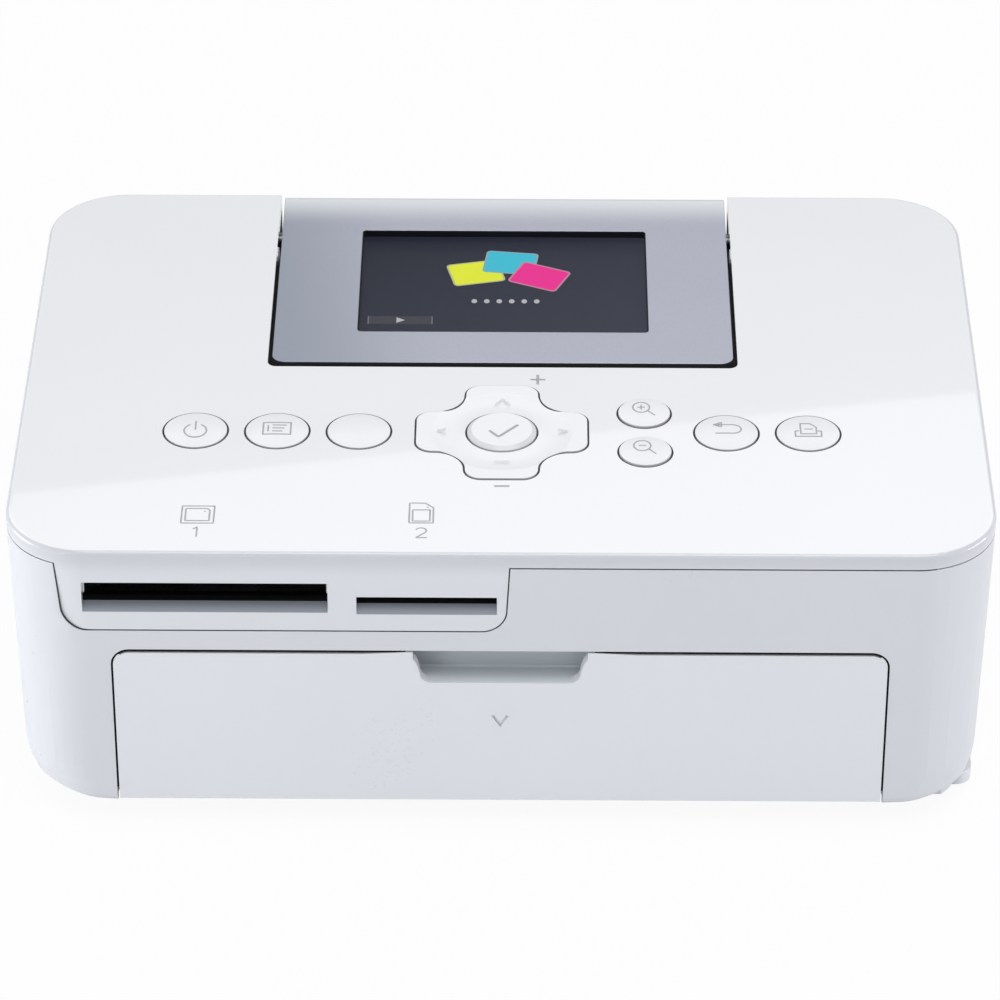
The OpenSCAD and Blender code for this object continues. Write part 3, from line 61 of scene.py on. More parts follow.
def make_camera():
    """Puts the camera in front of the printer, looking down on it."""
    back = Vector((math.sin(VIEW_YAW) * math.cos(VIEW_ELEVATION),
                   -math.cos(VIEW_YAW) * math.cos(VIEW_ELEVATION), math.sin(VIEW_ELEVATION)))
    right = (-back).cross(Vector((0, 0, 1))).normalized()
    up = right.cross(-back)
    turned_right = right * math.cos(VIEW_ROLL) + up * math.sin(VIEW_ROLL)
    turned_up = up * math.cos(VIEW_ROLL) - right * math.sin(VIEW_ROLL)
    data = bpy.data.cameras.new("camera")
    data.sensor_width = SENSOR_MM
    data.lens = LENS_PX / FRAME_PX * SENSOR_MM
    data.clip_start = 0.05
    data.clip_end = 20
    camera = new_object("camera", data)
    axes = Matrix((turned_right, turned_up, back)).transposed().to_4x4()
    camera.matrix_world = Matrix.Translation(VIEW_TARGET + back * VIEW_DISTANCE) @ axes
    bpy.context.scene.camera = camera


# ---- node trees in short ----

class Number:
    """A number socket: calculating with it adds Math nodes."""

    def __init__(self, finish, socket):
        self.finish = finish
        self.socket = socket

    def _math(self, operation, *values):
        made = self.finish.node("ShaderNodeMath", {"operation": operation}, dict(enumerate(values)))
        return Number(self.finish, made.outputs[0])

    def __add__(self, other): return self._math("ADD", self, other)
    def __radd__(self, other): return self._math("ADD", other, self)
    def __sub__(self, other): return self._math("SUBTRACT", self, other)
    def __rsub__(self, other): return self._math("SUBTRACT", other, self)
    def __mul__(self, other): return self._math("MULTIPLY", self, other)
    def __rmul__(self, other): return self._math("MULTIPLY", other, self)
    def __truediv__(self, other): return self._math("DIVIDE", self, other)
    def __rtruediv__(self, other): return self._math("DIVIDE", other, self)
    def clamped(self): return self._math("MINIMUM", self._math("MAXIMUM", self, 0.0), 1.0)


class Finish:
    """A material with one principled shader, whose constants are set on the shader itself."""

    def __init__(self, name, **constants):
        self.material = bpy.data.materials.new(name)
        self.material.use_nodes = True
        self.tree = self.material.node_tree
        self.shader = self.tree.nodes["Principled BSDF"]
        self.place = self.node("ShaderNodeTexCoord").outputs["Object"]
        for socket, value in constants.items():
            self.put(self.shader.inputs[socket.replace("_", " ")], value)

    def put(self, socket, value):
        """Links a socket to a value's socket, or sets its number or colour."""
        if isinstance(value, Number):
            self.tree.links.new(value.socket, socket)
        elif isinstance(value, bpy.types.NodeSocket):
            self.tree.links.new(value, socket)
        elif isinstance(value, tuple) and socket.type == "RGBA" and len(value) == 3:
            socket.default_value = (*value, 1.0)
        else:
            socket.default_value = value

    def node(self, kind, settings=None, sockets=None):
        """A new node with its settings, then its inputs."""
        made = self.tree.nodes.new(kind)
        for name, value in (settings or {}).items():
            setattr(made, name, value)
        for name, value in (sockets or {}).items():
            self.put(made.inputs[name], value)
        return made

    def noise(self, scale, detail=2.0, roughness=0.5, stretch=(1, 1, 1)):
        """Noise from 0 to 1, with scale features a metre."""
        mapped = self.node("ShaderNodeMapping", None, {"Vector": self.place, "Scale": stretch})
        made = self.node("ShaderNodeTexNoise", None, {"Vector": mapped.outputs[0], "Scale": scale,
                                                      "Detail": detail, "Roughness": roughness})
        return Number(self, made.outputs["Fac"])

    def axis(self, name):
        """One Object coordinate in millimetres."""
        made = self.node("ShaderNodeSeparateXYZ", None, {0: self.place})
        return Number(self, made.outputs[name]) * 1000.0

    def facing(self):
        """How far the surface faces up, from -1 to 1."""
        normal = self.node("ShaderNodeNewGeometry").outputs["Normal"]
        return Number(self, self.node("ShaderNodeSeparateXYZ", None, {0: normal}).outputs["Z"])

    def mix(self, factor, first, second):
        """Colour between two colours."""
        made = self.node("ShaderNodeMix", {"data_type": "RGBA"}, {0: factor, 6: first, 7: second})
        return made.outputs[2]

    def step(self, value, low, high):
        """Goes smoothly from 0 at low to 1 at high."""
        made = self.node("ShaderNodeMapRange", {"interpolation_type": "SMOOTHSTEP"},
                         {0: value, 1: low, 2: high, 3: 0.0, 4: 1.0})
        return Number(self, made.outputs[0])

    def colour(self, value):
        self.put(self.shader.inputs["Base Color"], value)

    def rough(self, value):
        self.put(self.shader.inputs["Roughness"], value)

    def glow(self, value):
        self.put(self.shader.inputs["Emission Color"], value)

    def bump(self, height, distance_mm, strength=1.0):
        """Fine relief, at most distance_mm high."""
        made = self.node("ShaderNodeBump", None, {"Height": height, "Distance": distance_mm * MM,
                                                  "Strength": strength})
        self.put(self.shader.inputs["Normal"], made.outputs[0])


# ---- finishes ----

# slot: (name, colour, roughness, grain size, grain depth)
PLASTICS = {
    "shell_white": ("shell_white", (0.67, 0.685, 0.715), 0.30, 0.9, 0.0),
    "door_white": ("door_white", (0.755, 0.77, 0.80), 0.30, 0.9, 0.0),
    "base_plastic": ("base_grain", (0.74, 0.755, 0.78), 0.48, 0.7, 0.02),
    "display": ("display_face", (0.02, 0.022, 0.03), 0.2, 1.0, 0.002),
    "dark_plastic": ("dark_plastic", (0.055, 0.058, 0.064), 0.42, 0.6, 0.012),
    "rubber": ("rubber", (0.035, 0.035, 0.037), 0.62, 0.9, 0.03),
    "key_rubber": ("key_rubber", (0.36, 0.37, 0.38), 0.6, 0.9, 0.02),
    "guide_plastic": ("guide_grey", (0.33, 0.35, 0.38), 0.42, 0.6, 0.012),
    "gear_plastic": ("gear_acetal", (0.78, 0.76, 0.68), 0.38, 0.7, 0.006),
    "spool_white": ("spool_white", (0.74, 0.74, 0.74), 0.36, 0.7, 0.006),
    "ribbon_yellow": ("dye_film_yellow", (0.72, 0.5, 0.05), 0.16, 2.0, 0.01),
    "ribbon_spent": ("dye_film_spent", (0.1, 0.05, 0.16), 0.16, 2.0, 0.01),
    "cable_white": ("flat_cable", (0.8, 0.81, 0.83), 0.3, 1.0, 0.01),
}
# slot: (colour, roughness)
METALS = {
    "steel": ((0.55, 0.56, 0.57), 0.34),
    "bright_metal": ((0.66, 0.66, 0.65), 0.22),
    "aluminium": ((0.66, 0.67, 0.68), 0.38),
    "brass": ((0.62, 0.46, 0.2), 0.3),
}
# slot: brightness
CAPS = {"key_white": 0.85, "pad_white": 0.88}


def moulded(name, colour, rough, grain_mm, grain_depth, **constants):
    """Moulded plastic: a fine skin, slow changes of gloss and a faint change of tone."""
    plastic = Finish(name, **constants)
    slow = plastic.noise(28, 3)
    fine = plastic.noise(1000 / grain_mm, 2)
    darker = tuple(c * 0.965 for c in colour)
    plastic.colour(plastic.mix(slow, darker, colour))
    plastic.rough(rough + (slow - 0.5) * rough * 0.35 + (fine - 0.5) * rough * 0.2)
    plastic.bump(fine, grain_depth, 0.6)
    return plastic


def lid_gloss():
    """The lid's lacquer: a mirror coat over a bright top, with its walls painted greyer as painted shade."""
    lid = Finish("lid_gloss", Coat_Weight=1.0, Coat_Roughness=0.02, Specular_IOR_Level=0.3)
    slow = lid.noise(28, 3)
    top_tone = lid.mix(slow, (0.84, 0.84, 0.85), (0.865, 0.865, 0.875))
    # painted shade and light on the walls: darker near the top, under the lid's rim, and lighter lower down, as if
    # lit by the floor
    shade_under_rim = lid.step(lid.axis("Z"), 55.0, 59.5)
    painted_wall_shade = lid.mix(shade_under_rim, (0.70, 0.715, 0.745), (0.60, 0.61, 0.645))
    # painted shade: the walls get a darker colour than the top because they face away from the top light
    lid.colour(lid.mix(lid.step(lid.facing(), 0.86, 0.995), painted_wall_shade, top_tone))
    lid.rough(0.24 + (slow - 0.5) * 0.08)
    lid.bump(lid.noise(160, 2), 0.0005, 0.5)
    return lid


def key_cap(name, tone):
    """White key: its rim is painted darker than its top, as painted shade that outlines the key."""
    cap = Finish(name)
    slow = cap.noise(40, 3)
    top = cap.mix(slow, (tone * 0.98, tone * 0.98, tone * 0.99), (tone, tone, tone * 1.01))
    # painted shade on the key's eased edge, where it turns away from the light
    rim = (tone * 0.72, tone * 0.72, tone * 0.74)
    cap.colour(cap.mix(cap.step(cap.facing(), 0.70, 0.97), rim, top))
    cap.rough(0.25 + (slow - 0.5) * 0.08)
    return cap


def panel_silver():
    """Silver paint of the screen panel: fine flakes, a painted darker bluish shade at the left, a painted pale
    reflection at the rear, dark on its sides.
    """
    silver = Finish("panel_silver", Metallic=0.55, Specular_IOR_Level=0.5)
    flake = silver.noise(5200, 1)
    drift = silver.noise(30, 2)
    sparkle = (flake * 0.8 + drift * 0.2).clamped()
    body_tone = silver.mix(sparkle, (0.37, 0.38, 0.45), (0.525, 0.535, 0.605))
    # painted shade: the panel drawn darker and bluer towards its left
    left = 1.0 - silver.step(silver.axis("X") + silver.axis("Y") * 0.2, -42.0, -6.0)
    # painted reflection: the panel drawn paler towards its rear edge
    rear = silver.step(silver.axis("Y"), 51.0, 63.0)
    painted_left_shade = silver.mix(left * 0.66, body_tone, (0.24, 0.275, 0.33))
    painted_rear_reflection = silver.mix(rear * 0.9, painted_left_shade, (0.82, 0.84, 0.85))
    silver.colour(silver.mix(silver.step(silver.facing(), 0.5, 0.8), (0.05, 0.052, 0.06), painted_rear_reflection))
    silver.rough(0.36 + (flake - 0.5) * 0.16)
    silver.bump(flake, 0.004, 0.5)
    return silver


def window_smoke():
    """Dark, see-through screen window."""
    glass = Finish("window_smoke", Base_Color=(0.012, 0.014, 0.02), IOR=1.5, Specular_IOR_Level=0.22, Alpha=0.22)
    glass.rough(0.05 + glass.noise(40, 2) * 0.04)
    return glass


def circuit_board():
    """Green board with lighter traces."""
    board = Finish("board_green", Specular_IOR_Level=0.5)
    traces = board.noise(420, 1, 0.3, (1, 0.25, 1))
    board.colour(board.mix(board.step(traces, 0.48, 0.52), (0.012, 0.11, 0.05), (0.03, 0.19, 0.085)))
    board.rough(0.35 + traces * 0.15)
    board.bump(traces, 0.03)
    return board


def drawn_metal(name, colour, rough):
    """Metal with a grain along X."""
    metal = Finish(name, Metallic=1.0)
    grain = metal.noise(900, 3, 0.6, (0.08, 1, 1))
    metal.colour(metal.mix(grain, tuple(c * 0.86 for c in colour), colour))
    metal.rough(rough + (grain - 0.5) * 0.18)
    metal.bump(grain, 0.006)
    return metal


FINISHES = {slot: moulded(*recipe) for slot, recipe in PLASTICS.items()}
FINISHES.update((slot, drawn_metal(slot, *recipe)) for slot, recipe in METALS.items())
FINISHES.update((slot, key_cap(slot, tone)) for slot, tone in CAPS.items())
FINISHES.update(gloss_white=lid_gloss(), silver_panel=panel_silver(), screen_glass=window_smoke(),
                board_green=circuit_board())


# ---- meshes ----

def new_object(name, data):
    made = bpy.data.objects.new(name, data)
    bpy.context.scene.collection.objects.link(made)
    return made


def settle(piece, body, finish):
    """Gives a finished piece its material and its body."""
    piece.data.materials.clear()
    piece.data.materials.append(finish.material)
    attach(piece, body)
    return piece


def apply_modifiers(piece):
    """Turns what the modifiers make into the piece's own mesh."""
    graph = bpy.context.evaluated_depsgraph_get()
    mesh = bpy.data.meshes.new_from_object(piece.evaluated_get(graph))
    piece.modifiers.clear()
    piece.data = mesh


def outward(mesh):
    """Turns all faces outwards."""
    work = bmesh.new()
    work.from_mesh(mesh)
    bmesh.ops.recalc_face_normals(work, faces=work.faces)
    work.to_mesh(mesh)
    work.free()


def prism(name, outline, ends, place):
    """Closed mesh with the same flat outline at both ends, its points put where place(u, v, end) says."""
    count = len(outline)
    verts = [tuple(c * MM for c in place(u, v, end)) for end in ends for u, v in outline]
    faces = [tuple(range(count)), tuple(range(count, 2 * count))]
    faces += [(i, (i + 1) % count, count + (i + 1) % count, count + i) for i in range(count)]
    mesh = bpy.data.meshes.new(name)
    mesh.from_pydata(verts, [], faces)
    outward(mesh)
    return mesh


def plate(name, outline, z0, z1, body, finish):
    """Flat plate with an outline of (x, y) points."""
    mesh = prism(name, outline, (z0, z1), lambda x, y, z: (x, y, z))
    return settle(new_object(name, mesh), body, finish)


def bar(name, profile, x0, x1, body, finish):
    """Bar along X with a profile of (y, z) points."""
    mesh = prism(name, profile, (x0, x1), lambda y, z, x: (x, y, z))
    return settle(new_object(name, mesh), body, finish)


def arc(x, y, rx, ry, start, end, steps=28):
    """Points of an elliptical arc, from one angle to another in degrees."""
    angles = [math.radians(start + (end - start) * i / steps) for i in range(steps + 1)]
    return [(x + rx * math.cos(a), y + ry * math.sin(a)) for a in angles]


def box(x0, y0, x1, y1, cut=0.0):
    """Closed rectangle, with its upper right corner cut off if asked."""
    return [(x0, y0), (x0, y1), (x1 - cut, y1), (x1, y1 - cut), (x1, y0), (x0, y0)]


def turned_sheet(x, y, w, h, angle, r=0.9):
    """Outline of a sheet with rounded corners, turned about its middle."""
    cosine, sine = math.cos(math.radians(angle)), math.sin(math.radians(angle))
    points = []
    for sx, sy, start in ((1, 1, 0), (-1, 1, 90), (-1, -1, 180), (1, -1, 270)):
        for px, py in arc(sx * (w / 2 - r), sy * (h / 2 - r), r, r, start, start + 90, 5):
            points.append((x + px * cosine - py * sine, y + px * sine + py * cosine))
    return points


def smooth_share(value, low, high):
    """Share from 0 at low to 1 at high, level at both ends."""
    s = min(1.0, max(0.0, (value - low) / (high - low)))
    return s * s * (3 - 2 * s)


# ---- the case's measures ----

TOP_Z = 60.5
CASE_FRONT = -63.5
DRAFT = 0.028
KEY_Y = -23.5
KEY_PLACES = {"power_button": (-56.25, KEY_Y), "menu_button": (-41.25, KEY_Y), "edit_button": (-26.25, KEY_Y),
              "zoom_in_button": (26.25, -17.0), "zoom_out_button": (26.25, -30.0),
              "back_button": (41.25, KEY_Y), "print_button": (56.25, KEY_Y)}


def front_y(z):
    """Where the case's front wall stands at a height."""
    return CASE_FRONT + DRAFT * (TOP_Z - z)


# ---- small changes of form on the CAD nodes' copies ----

# node: (height below which it drops, drop)
SKIRT = {"housing": (7.7, 1.6), "paper_door": (6.6, 1.3)}
# node: (reach of the rolled edge, height where it starts, height where it ends)
ROLL = {"housing": (4.0, 12.0, 3.9), "base_tray": (9.0, 8.5, 0.5), "case_screws": (9.0, 8.5, 0.5)}
ROLL_CUTS = 7
ROLL_X = (71.0, 84.0)
ROLL_Y = (42.0, 50.0)
RIGHT_SHARE = 0.7
CORNER_CENTRE = (73.0, 48.0)
TUCK = 1.7
TUCK_BELOW = 6.0
TUCK_X = (74.0, 82.0)
APRON_Z = (42.5, 57.4)
APRON_FRONT = -58.0
APRON_ARC = 44.5
APRON_LEFT = {"outside": -80.6, "upper": -75.0, "lower": -73.9}
APRON_RIGHT = (-2.8, 3.0)
APRON_SLANT = (0.085, -0.055)
SLOT_END_X = -0.6
OPENING_HALF = 44.1
OPENING_Y = -1.0
OPENING_R = 1.6
NEAR = 0.05
GAP_X = (17.0, 25.0)
GAP_DROP = 0.4
DOOR_TOP = 38.2
DOOR_FRONT = -60.0
KEYS_ABOVE = 60.0
KEY_EDGE = (3.4, 5.6)
KEY_DROP = 0.25
PAD_DROP = 0.5
OK_CAP_Z = 60.9
OK_DROP = 0.42
BEZEL_FRONT = {"below": 1.45, "edge_below": 0.5, "edge": 0.6}
BEZEL_CORNER = {"beyond": 42.1, "from": (42.15, 1.4), "to": (40.95, 3.0), "r": 2.4}


def rolled(x, y, z, reach, top, bottom):
    """The case's lower edge rolled under, along the left side and at the front right corner."""
    weight = smooth_share(abs(x), *ROLL_X)
    if x > 0:
        weight *= RIGHT_SHARE * smooth_share(-y, *ROLL_Y)
    down = min(1.0, max(0.0, (top - z) / (top - bottom)))
    shift = weight * reach * (1 - math.sqrt(max(0.0, 1 - down * down)))
    beyond = max(0.0, abs(y) - CORNER_CENTRE[1])
    across = abs(x) - CORNER_CENTRE[0] if beyond else 1.0
    length = max(0.01, math.hypot(across, beyond))
    return math.copysign(abs(x) - shift * across / length, x), y - math.copysign(shift * beyond / length, y)


def slanted(x, z):
    """The card apron's sides drawn in towards its foot."""
    inside = APRON_LEFT["lower"] if z < APRON_ARC else APRON_LEFT["upper"]
    if APRON_LEFT["outside"] < x < inside:
        return x + (APRON_Z[1] - z) * APRON_SLANT[0]
    if APRON_RIGHT[0] < x < APRON_RIGHT[1] and abs(x - SLOT_END_X) > NEAR:
        return x + (APRON_Z[1] - z) * APRON_SLANT[1]
    return x


def bezel_edge(x, y):
    """The screen panel's front edge, with round corners."""
    if abs(x) > BEZEL_CORNER["beyond"]:
        (from_x, from_y), (to_x, to_y) = BEZEL_CORNER["from"], BEZEL_CORNER["to"]
        angle = math.atan2(from_y - y, abs(x) - from_x)
        return (math.copysign(to_x + BEZEL_CORNER["r"] * math.cos(angle), x),
                to_y - BEZEL_CORNER["r"] * math.sin(angle))
    return x, BEZEL_FRONT["edge"] if y < BEZEL_FRONT["edge_below"] else y


def shifted(node, x, y, z):
    """Where a point of a node goes."""
    if node in SKIRT and z < SKIRT[node][0]:
        z -= SKIRT[node][1]
    if node in ROLL and (x < -ROLL_X[0] or node == "housing" and x > ROLL_X[0]):
        x, y = rolled(x, y, z, *ROLL[node])
    if node == "base_tray" and x > 0 and z < TUCK_BELOW:
        y += TUCK * smooth_share(x, *TUCK_X) * smooth_share(-y, *ROLL_Y)
    if node in ("housing", "top_cover") and APRON_Z[0] < z < APRON_Z[1] and y < APRON_FRONT:
        x = slanted(x, z)
    if node == "paper_door" and z > DOOR_TOP and y < DOOR_FRONT:
        z -= GAP_DROP * smooth_share(abs(x), *GAP_X)
    if node in KEY_PLACES and z > KEYS_ABOVE:
        z -= KEY_DROP * smooth_share(math.dist((x, y), KEY_PLACES[node]), *KEY_EDGE)
    if node == "direction_pad" and z > KEYS_ABOVE:
        z -= PAD_DROP
    if node == "ok_button" and z > OK_CAP_Z:
        z -= OK_DROP
    if node == "screen_bezel" and y < BEZEL_FRONT["below"]:
        x, y = bezel_edge(x, y)
    return x, y, z


def round_opening(work):
    """Rounds the front corners of the lid's opening for the screen panel."""
    corners = [edge for edge in work.edges if edge.verts[0].co.x * edge.verts[1].co.x > 0 and all(
        abs(abs(v.co.x) - OPENING_HALF * MM) < NEAR * MM and abs(v.co.y - OPENING_Y * MM) < NEAR * MM
        for v in edge.verts)]
    bmesh.ops.bevel(work, geom=corners, offset=OPENING_R * MM, segments=6, profile=0.5, affect="EDGES")


def reshape(node, work):
    """Gives a copied node its small changes of form, with edges added where it bends."""
    if node == "top_cover":
        round_opening(work)
    cuts = []
    if node in ROLL:
        _, top, bottom = ROLL[node]
        cuts = [((0, 0, top + (bottom - top) * k / ROLL_CUTS), (0, 0, 1)) for k in range(ROLL_CUTS)]
    if node == "paper_door":
        cuts = [((side * x, 0, 0), (1, 0, 0)) for x in GAP_X for side in (-1, 1)]
    for place, normal in cuts:
        bmesh.ops.bisect_plane(work, geom=work.verts[:] + work.edges[:] + work.faces[:],
                               plane_co=Vector(place) * MM, plane_no=normal, dist=1e-7)
    for vertex in work.verts:
        vertex.co = [c * MM for c in shifted(node, *(vertex.co / MM))]


# ---- the finger notch's cuts ----

NOTCH_FOOT_Z = 31.9
NOTCH_HALF = 14.5
NOTCH_R = 2.1
NOTCH_MOUTH = [(14.75, 35.2), (15.2, 36.4), (15.74, 37.1), (15.74, 40.0)]
NOTCH_Y = (-66.0, -59.9)
POCKET_DEPTH = 5.6
POCKET_TOP = 36.4
POCKET_HALF = 15.9
ROOM_FOOT = 30.9
ROOM_SIDE = 1.2
ROOM_ABOVE = 0.8
ROOM_Y = (-60.5, -54.0)


def cutter(outline, depths):
    """Body to cut with, with an outline of (x, z) points."""
    return new_object("cutter", prism("cutter", outline, depths, lambda x, z, y: (x, y, z)))


def notch_cutter():
    """Body of the finger notch: steep sides running into round foot corners."""
    right = [(NOTCH_HALF - NOTCH_R, NOTCH_FOOT_Z)]
    right += arc(NOTCH_HALF - NOTCH_R, NOTCH_FOOT_Z + NOTCH_R, NOTCH_R, NOTCH_R, -90, 0, 8)[1:]
    right += NOTCH_MOUTH
    return cutter([(-x, z) for x, z in reversed(right)] + right, NOTCH_Y)


def pocket_room():
    """Room in the paper guide's front wall for the finger pocket."""
    half, top = POCKET_HALF + ROOM_SIDE, POCKET_TOP + ROOM_ABOVE
    return cutter([(-half, ROOM_FOOT), (half, ROOM_FOOT), (half, top), (-half, top)], ROOM_Y)


def cut_with(piece, tool):
    """Takes the tool's shape out of the piece and removes the tool."""
    modifier = piece.modifiers.new("cut", "BOOLEAN")
    modifier.object = tool
    modifier.solver = "EXACT"
    apply_modifiers(piece)
    bpy.data.objects.remove(tool)


# ---- pieces that stand for CAD nodes ----

JOIN_DISTANCE = 0.002 * MM
FLAT_ANGLE = math.radians(0.6)
SMOOTH_ANGLE = math.radians(32)
EASE_ANGLE = math.radians(40)
FINISH_OF = {"direction_pad": "pad_white", "ok_button": "pad_white", "paper_door": "door_white"}
EASED = {"top_cover": 0.12, "housing": 0.2, "paper_door": 0.15, "ink_door": 0.15, "screen_bezel": 0.12,
         "base_tray": 0.2, "paper_guide": 0.15, "ok_button": 0.1, "direction_pad": 0.5}
EASED.update((key, 0.32) for key in KEY_PLACES)


def ease(piece, width):
    """Rounds the sharp edges a little."""
    bevel = piece.modifiers.new("ease", "BEVEL")
    bevel.width = width * MM
    bevel.segments = 2
    bevel.limit_method = "ANGLE"
    bevel.angle_limit = EASE_ANGLE
    bevel.harden_normals = True


def dress(node):
    """A merged, smoothly shaded copy of a node, with its sharp edges eased where EASED says so."""
    mesh = frame["nodes"][node].data.copy()
    work = bmesh.new()
    work.from_mesh(mesh)
    bmesh.ops.remove_doubles(work, verts=work.verts, dist=JOIN_DISTANCE)
    if node in EASED:
        bmesh.ops.dissolve_limit(work, angle_limit=FLAT_ANGLE, verts=work.verts, edges=work.edges,
                                 delimit={"NORMAL"})
    reshape(node, work)
    work.to_mesh(mesh)
    work.free()
    if "custom_normal" in mesh.attributes:
        mesh.attributes.remove(mesh.attributes["custom_normal"])
    piece = new_object(node + ".dressed", mesh)
    if node == "paper_door":
        cut_with(piece, notch_cutter())
    if node == "paper_guide":
        cut_with(piece, pocket_room())
    for face in piece.data.polygons:
        face.use_smooth = True
    piece.data.set_sharp_from_angle(angle=SMOOTH_ANGLE)
    if node in EASED:
        ease(piece, EASED[node])
    even = piece.modifiers.new("even", "WEIGHTED_NORMAL")
    even.keep_sharp = True
    apply_modifiers(piece)
    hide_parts(node)
    slot = SLOT_OF[node]
    settle(piece, BODY_OF[node], FINISHES[FINISH_OF.get(node, slot)])


def dress_all():
    """Dresses every CAD node."""
    for node in frame["nodes"]:
        dress(node)


# ---- strokes: bands swept along drawn lines ----

def stroke_tree():
    """Geometry nodes that sweep a flat band along curves."""
    tree = bpy.data.node_groups.new("stroke", "GeometryNodeTree")
    face = tree.interface
    face.new_socket("Geometry", in_out="INPUT", socket_type="NodeSocketGeometry")
    keys = {}
    for name, kind in (("Width", "Float"), ("Height", "Float"), ("Material", "Material")):
        keys[name] = face.new_socket(name, in_out="INPUT", socket_type="NodeSocket" + kind).identifier
    face.new_socket("Geometry", in_out="OUTPUT", socket_type="NodeSocketGeometry")
    make = tree.nodes.new
    link = tree.links.new
    source, out = make("NodeGroupInput"), make("NodeGroupOutput")
    upright = make("GeometryNodeSetCurveNormal")
    upright.mode = "Z_UP"
    band = make("GeometryNodeCurvePrimitiveQuadrilateral")
    sweep = make("GeometryNodeCurveToMesh")
    sweep.inputs["Fill Caps"].default_value = True
    real = make("GeometryNodeRealizeInstances")
    paint = make("GeometryNodeSetMaterial")
    link(source.outputs["Geometry"], upright.inputs["Curve"])
    link(source.outputs["Width"], band.inputs["Width"])
    link(source.outputs["Height"], band.inputs["Height"])
    link(upright.outputs[0], sweep.inputs["Curve"])
    link(band.outputs[0], sweep.inputs["Profile Curve"])
    link(sweep.outputs[0], real.inputs[0])
    link(real.outputs[0], paint.inputs["Geometry"])
    link(source.outputs["Material"], paint.inputs["Material"])
    link(paint.outputs[0], out.inputs[0])
    return tree, keys


STROKES, STROKE_KEYS = stroke_tree()
POINT_STEP = 0.35


def dense(line):
    """The line with points added, so that it can follow a curved surface."""
    points = [line[0]]
    for (x0, y0), (x1, y1) in zip(line, line[1:]):
        count = max(1, math.ceil(math.hypot(x1 - x0, y1 - y0) / POINT_STEP))
        points += [(x0 + (x1 - x0) * i / count, y0 + (y1 - y0) * i / count) for i in range(1, count + 1)]
    return points


def stroke(name, lines, width, height, body, finish, lay):
    """Bands along drawn lines, each vertex put where lay(x, y, height) says."""
    curve = bpy.data.curves.new(name, "CURVE")
    curve.dimensions = "3D"
    for line in lines:
        points = dense(line)
        closed = len(points) > 2 and math.dist(points[0], points[-1]) < 1e-6
        if closed:
            points = points[:-1]
        spline = curve.splines.new("POLY")
        spline.points.add(len(points) - 1)
        spline.use_cyclic_u = closed
        for point, (x, y) in zip(spline.points, points):
            point.co = (x * MM, y * MM, 0, 1)
    drawn = new_object(name + ".path", curve)
    modifier = drawn.modifiers.new("stroke", "NODES")
    modifier.node_group = STROKES
    modifier[STROKE_KEYS["Width"]] = width * MM
    modifier[STROKE_KEYS["Height"]] = height * MM
    modifier[STROKE_KEYS["Material"]] = finish.material
    graph = bpy.context.evaluated_depsgraph_get()
    mesh = bpy.data.meshes.new_from_object(drawn.evaluated_get(graph))
    bpy.data.objects.remove(drawn)
    for vertex in mesh.vertices:
        vertex.co = Vector(lay(*(vertex.co / MM))) * MM
    outward(mesh)
    settle(new_object(name, mesh), body, finish)


# ---- printed legends ----

INK_HEIGHT = 0.016
THIN = 0.3
BOLD = 0.5
CAP_Z = 61.2
CAP_DOME = 60.0
OK_Z = 61.18

# marks round the middle of their key
POWER_ICON = [arc(0, -0.9, 2.05, 2.2, 118, 422), [(0, 2.3), (0, -0.7)]]
LIST_ICON = [box(-2.55, -2.0, 2.5, 1.9), [(-1.65, 1.0), (-1.65, -1.1)],
             [(-0.9, 1.0), (1.7, 1.0)], [(-0.9, 0.0), (1.3, 0.0)], [(-0.9, -1.0), (1.0, -1.0)]]
BACK_ICON = [[(-1.2, 1.9), (1.2, 1.9)] + arc(1.2, 0.45, 1.5, 1.45, 90, -90)[1:] + [(-2.1, -1.0)],
             [(-0.9, 2.7), (-2.4, 1.9), (-0.9, 1.1), (-0.9, 2.7)], [(-2.1, 1.9), (-0.9, 1.9)],
             [(-1.4, 2.3), (-1.4, 1.5)]]
PRINT_ICON = [[(-1.7, -0.1), (-2.4, -0.1), (-2.4, -1.9), (2.4, -1.9), (2.4, -0.1), (1.7, -0.1)],
              [(-1.4, -1.1), (-1.4, 2.4), (0.4, 2.4), (1.5, 1.1), (1.5, -1.1), (-1.4, -1.1)],
              [(-0.7, 0.5), (0.8, 0.5)]]
MINUS_ICON = [arc(-0.55, 1.2, 1.55, 1.75, 0, 360), [(0.65, 0.0), (1.95, -1.5)], [(-1.25, 1.2), (0.15, 1.2)]]
PLUS_ICON = MINUS_ICON + [[(-0.55, 0.4), (-0.55, 2.0)]]
KEY_ICONS = {"power": POWER_ICON, "menu": LIST_ICON, "zoom_in": PLUS_ICON, "zoom_out": MINUS_ICON,
             "back": BACK_ICON, "print": PRINT_ICON}

# marks in their places on the lid
CARD_ICONS = [box(-57.2, -54.0, -51.4, -48.5), box(-56.5, -53.2, -52.2, -49.3, 0.5),
              [(-53.2, -50.2), (-52.9, -50.2)],
              box(-16.4, -53.6, -12.1, -47.2, 1.5), box(-15.8, -53.0, -12.7, -49.4),
              [(-13.3, -48.6), (-13.0, -48.6)]]
NUMBERS = [[(-54.9, -55.9), (-54.2, -55.2), (-54.2, -58.3)],
           arc(-14.2, -56.1, 0.95, 0.9, 160, -35, 14) + [(-15.1, -58.3), (-13.1, -58.3)]]
PLUS_MINUS = [[(5.2, -5.3), (8.0, -5.3)], [(6.6, -3.6), (6.6, -5.1)], [(6.6, -5.5), (6.6, -7.0)],
              [(-1.3, -41.5), (1.5, -41.5)]]
CHECK_MARK = [[(-2.3, -24.0), (-0.6, -26.1), (3.0, -22.0)]]
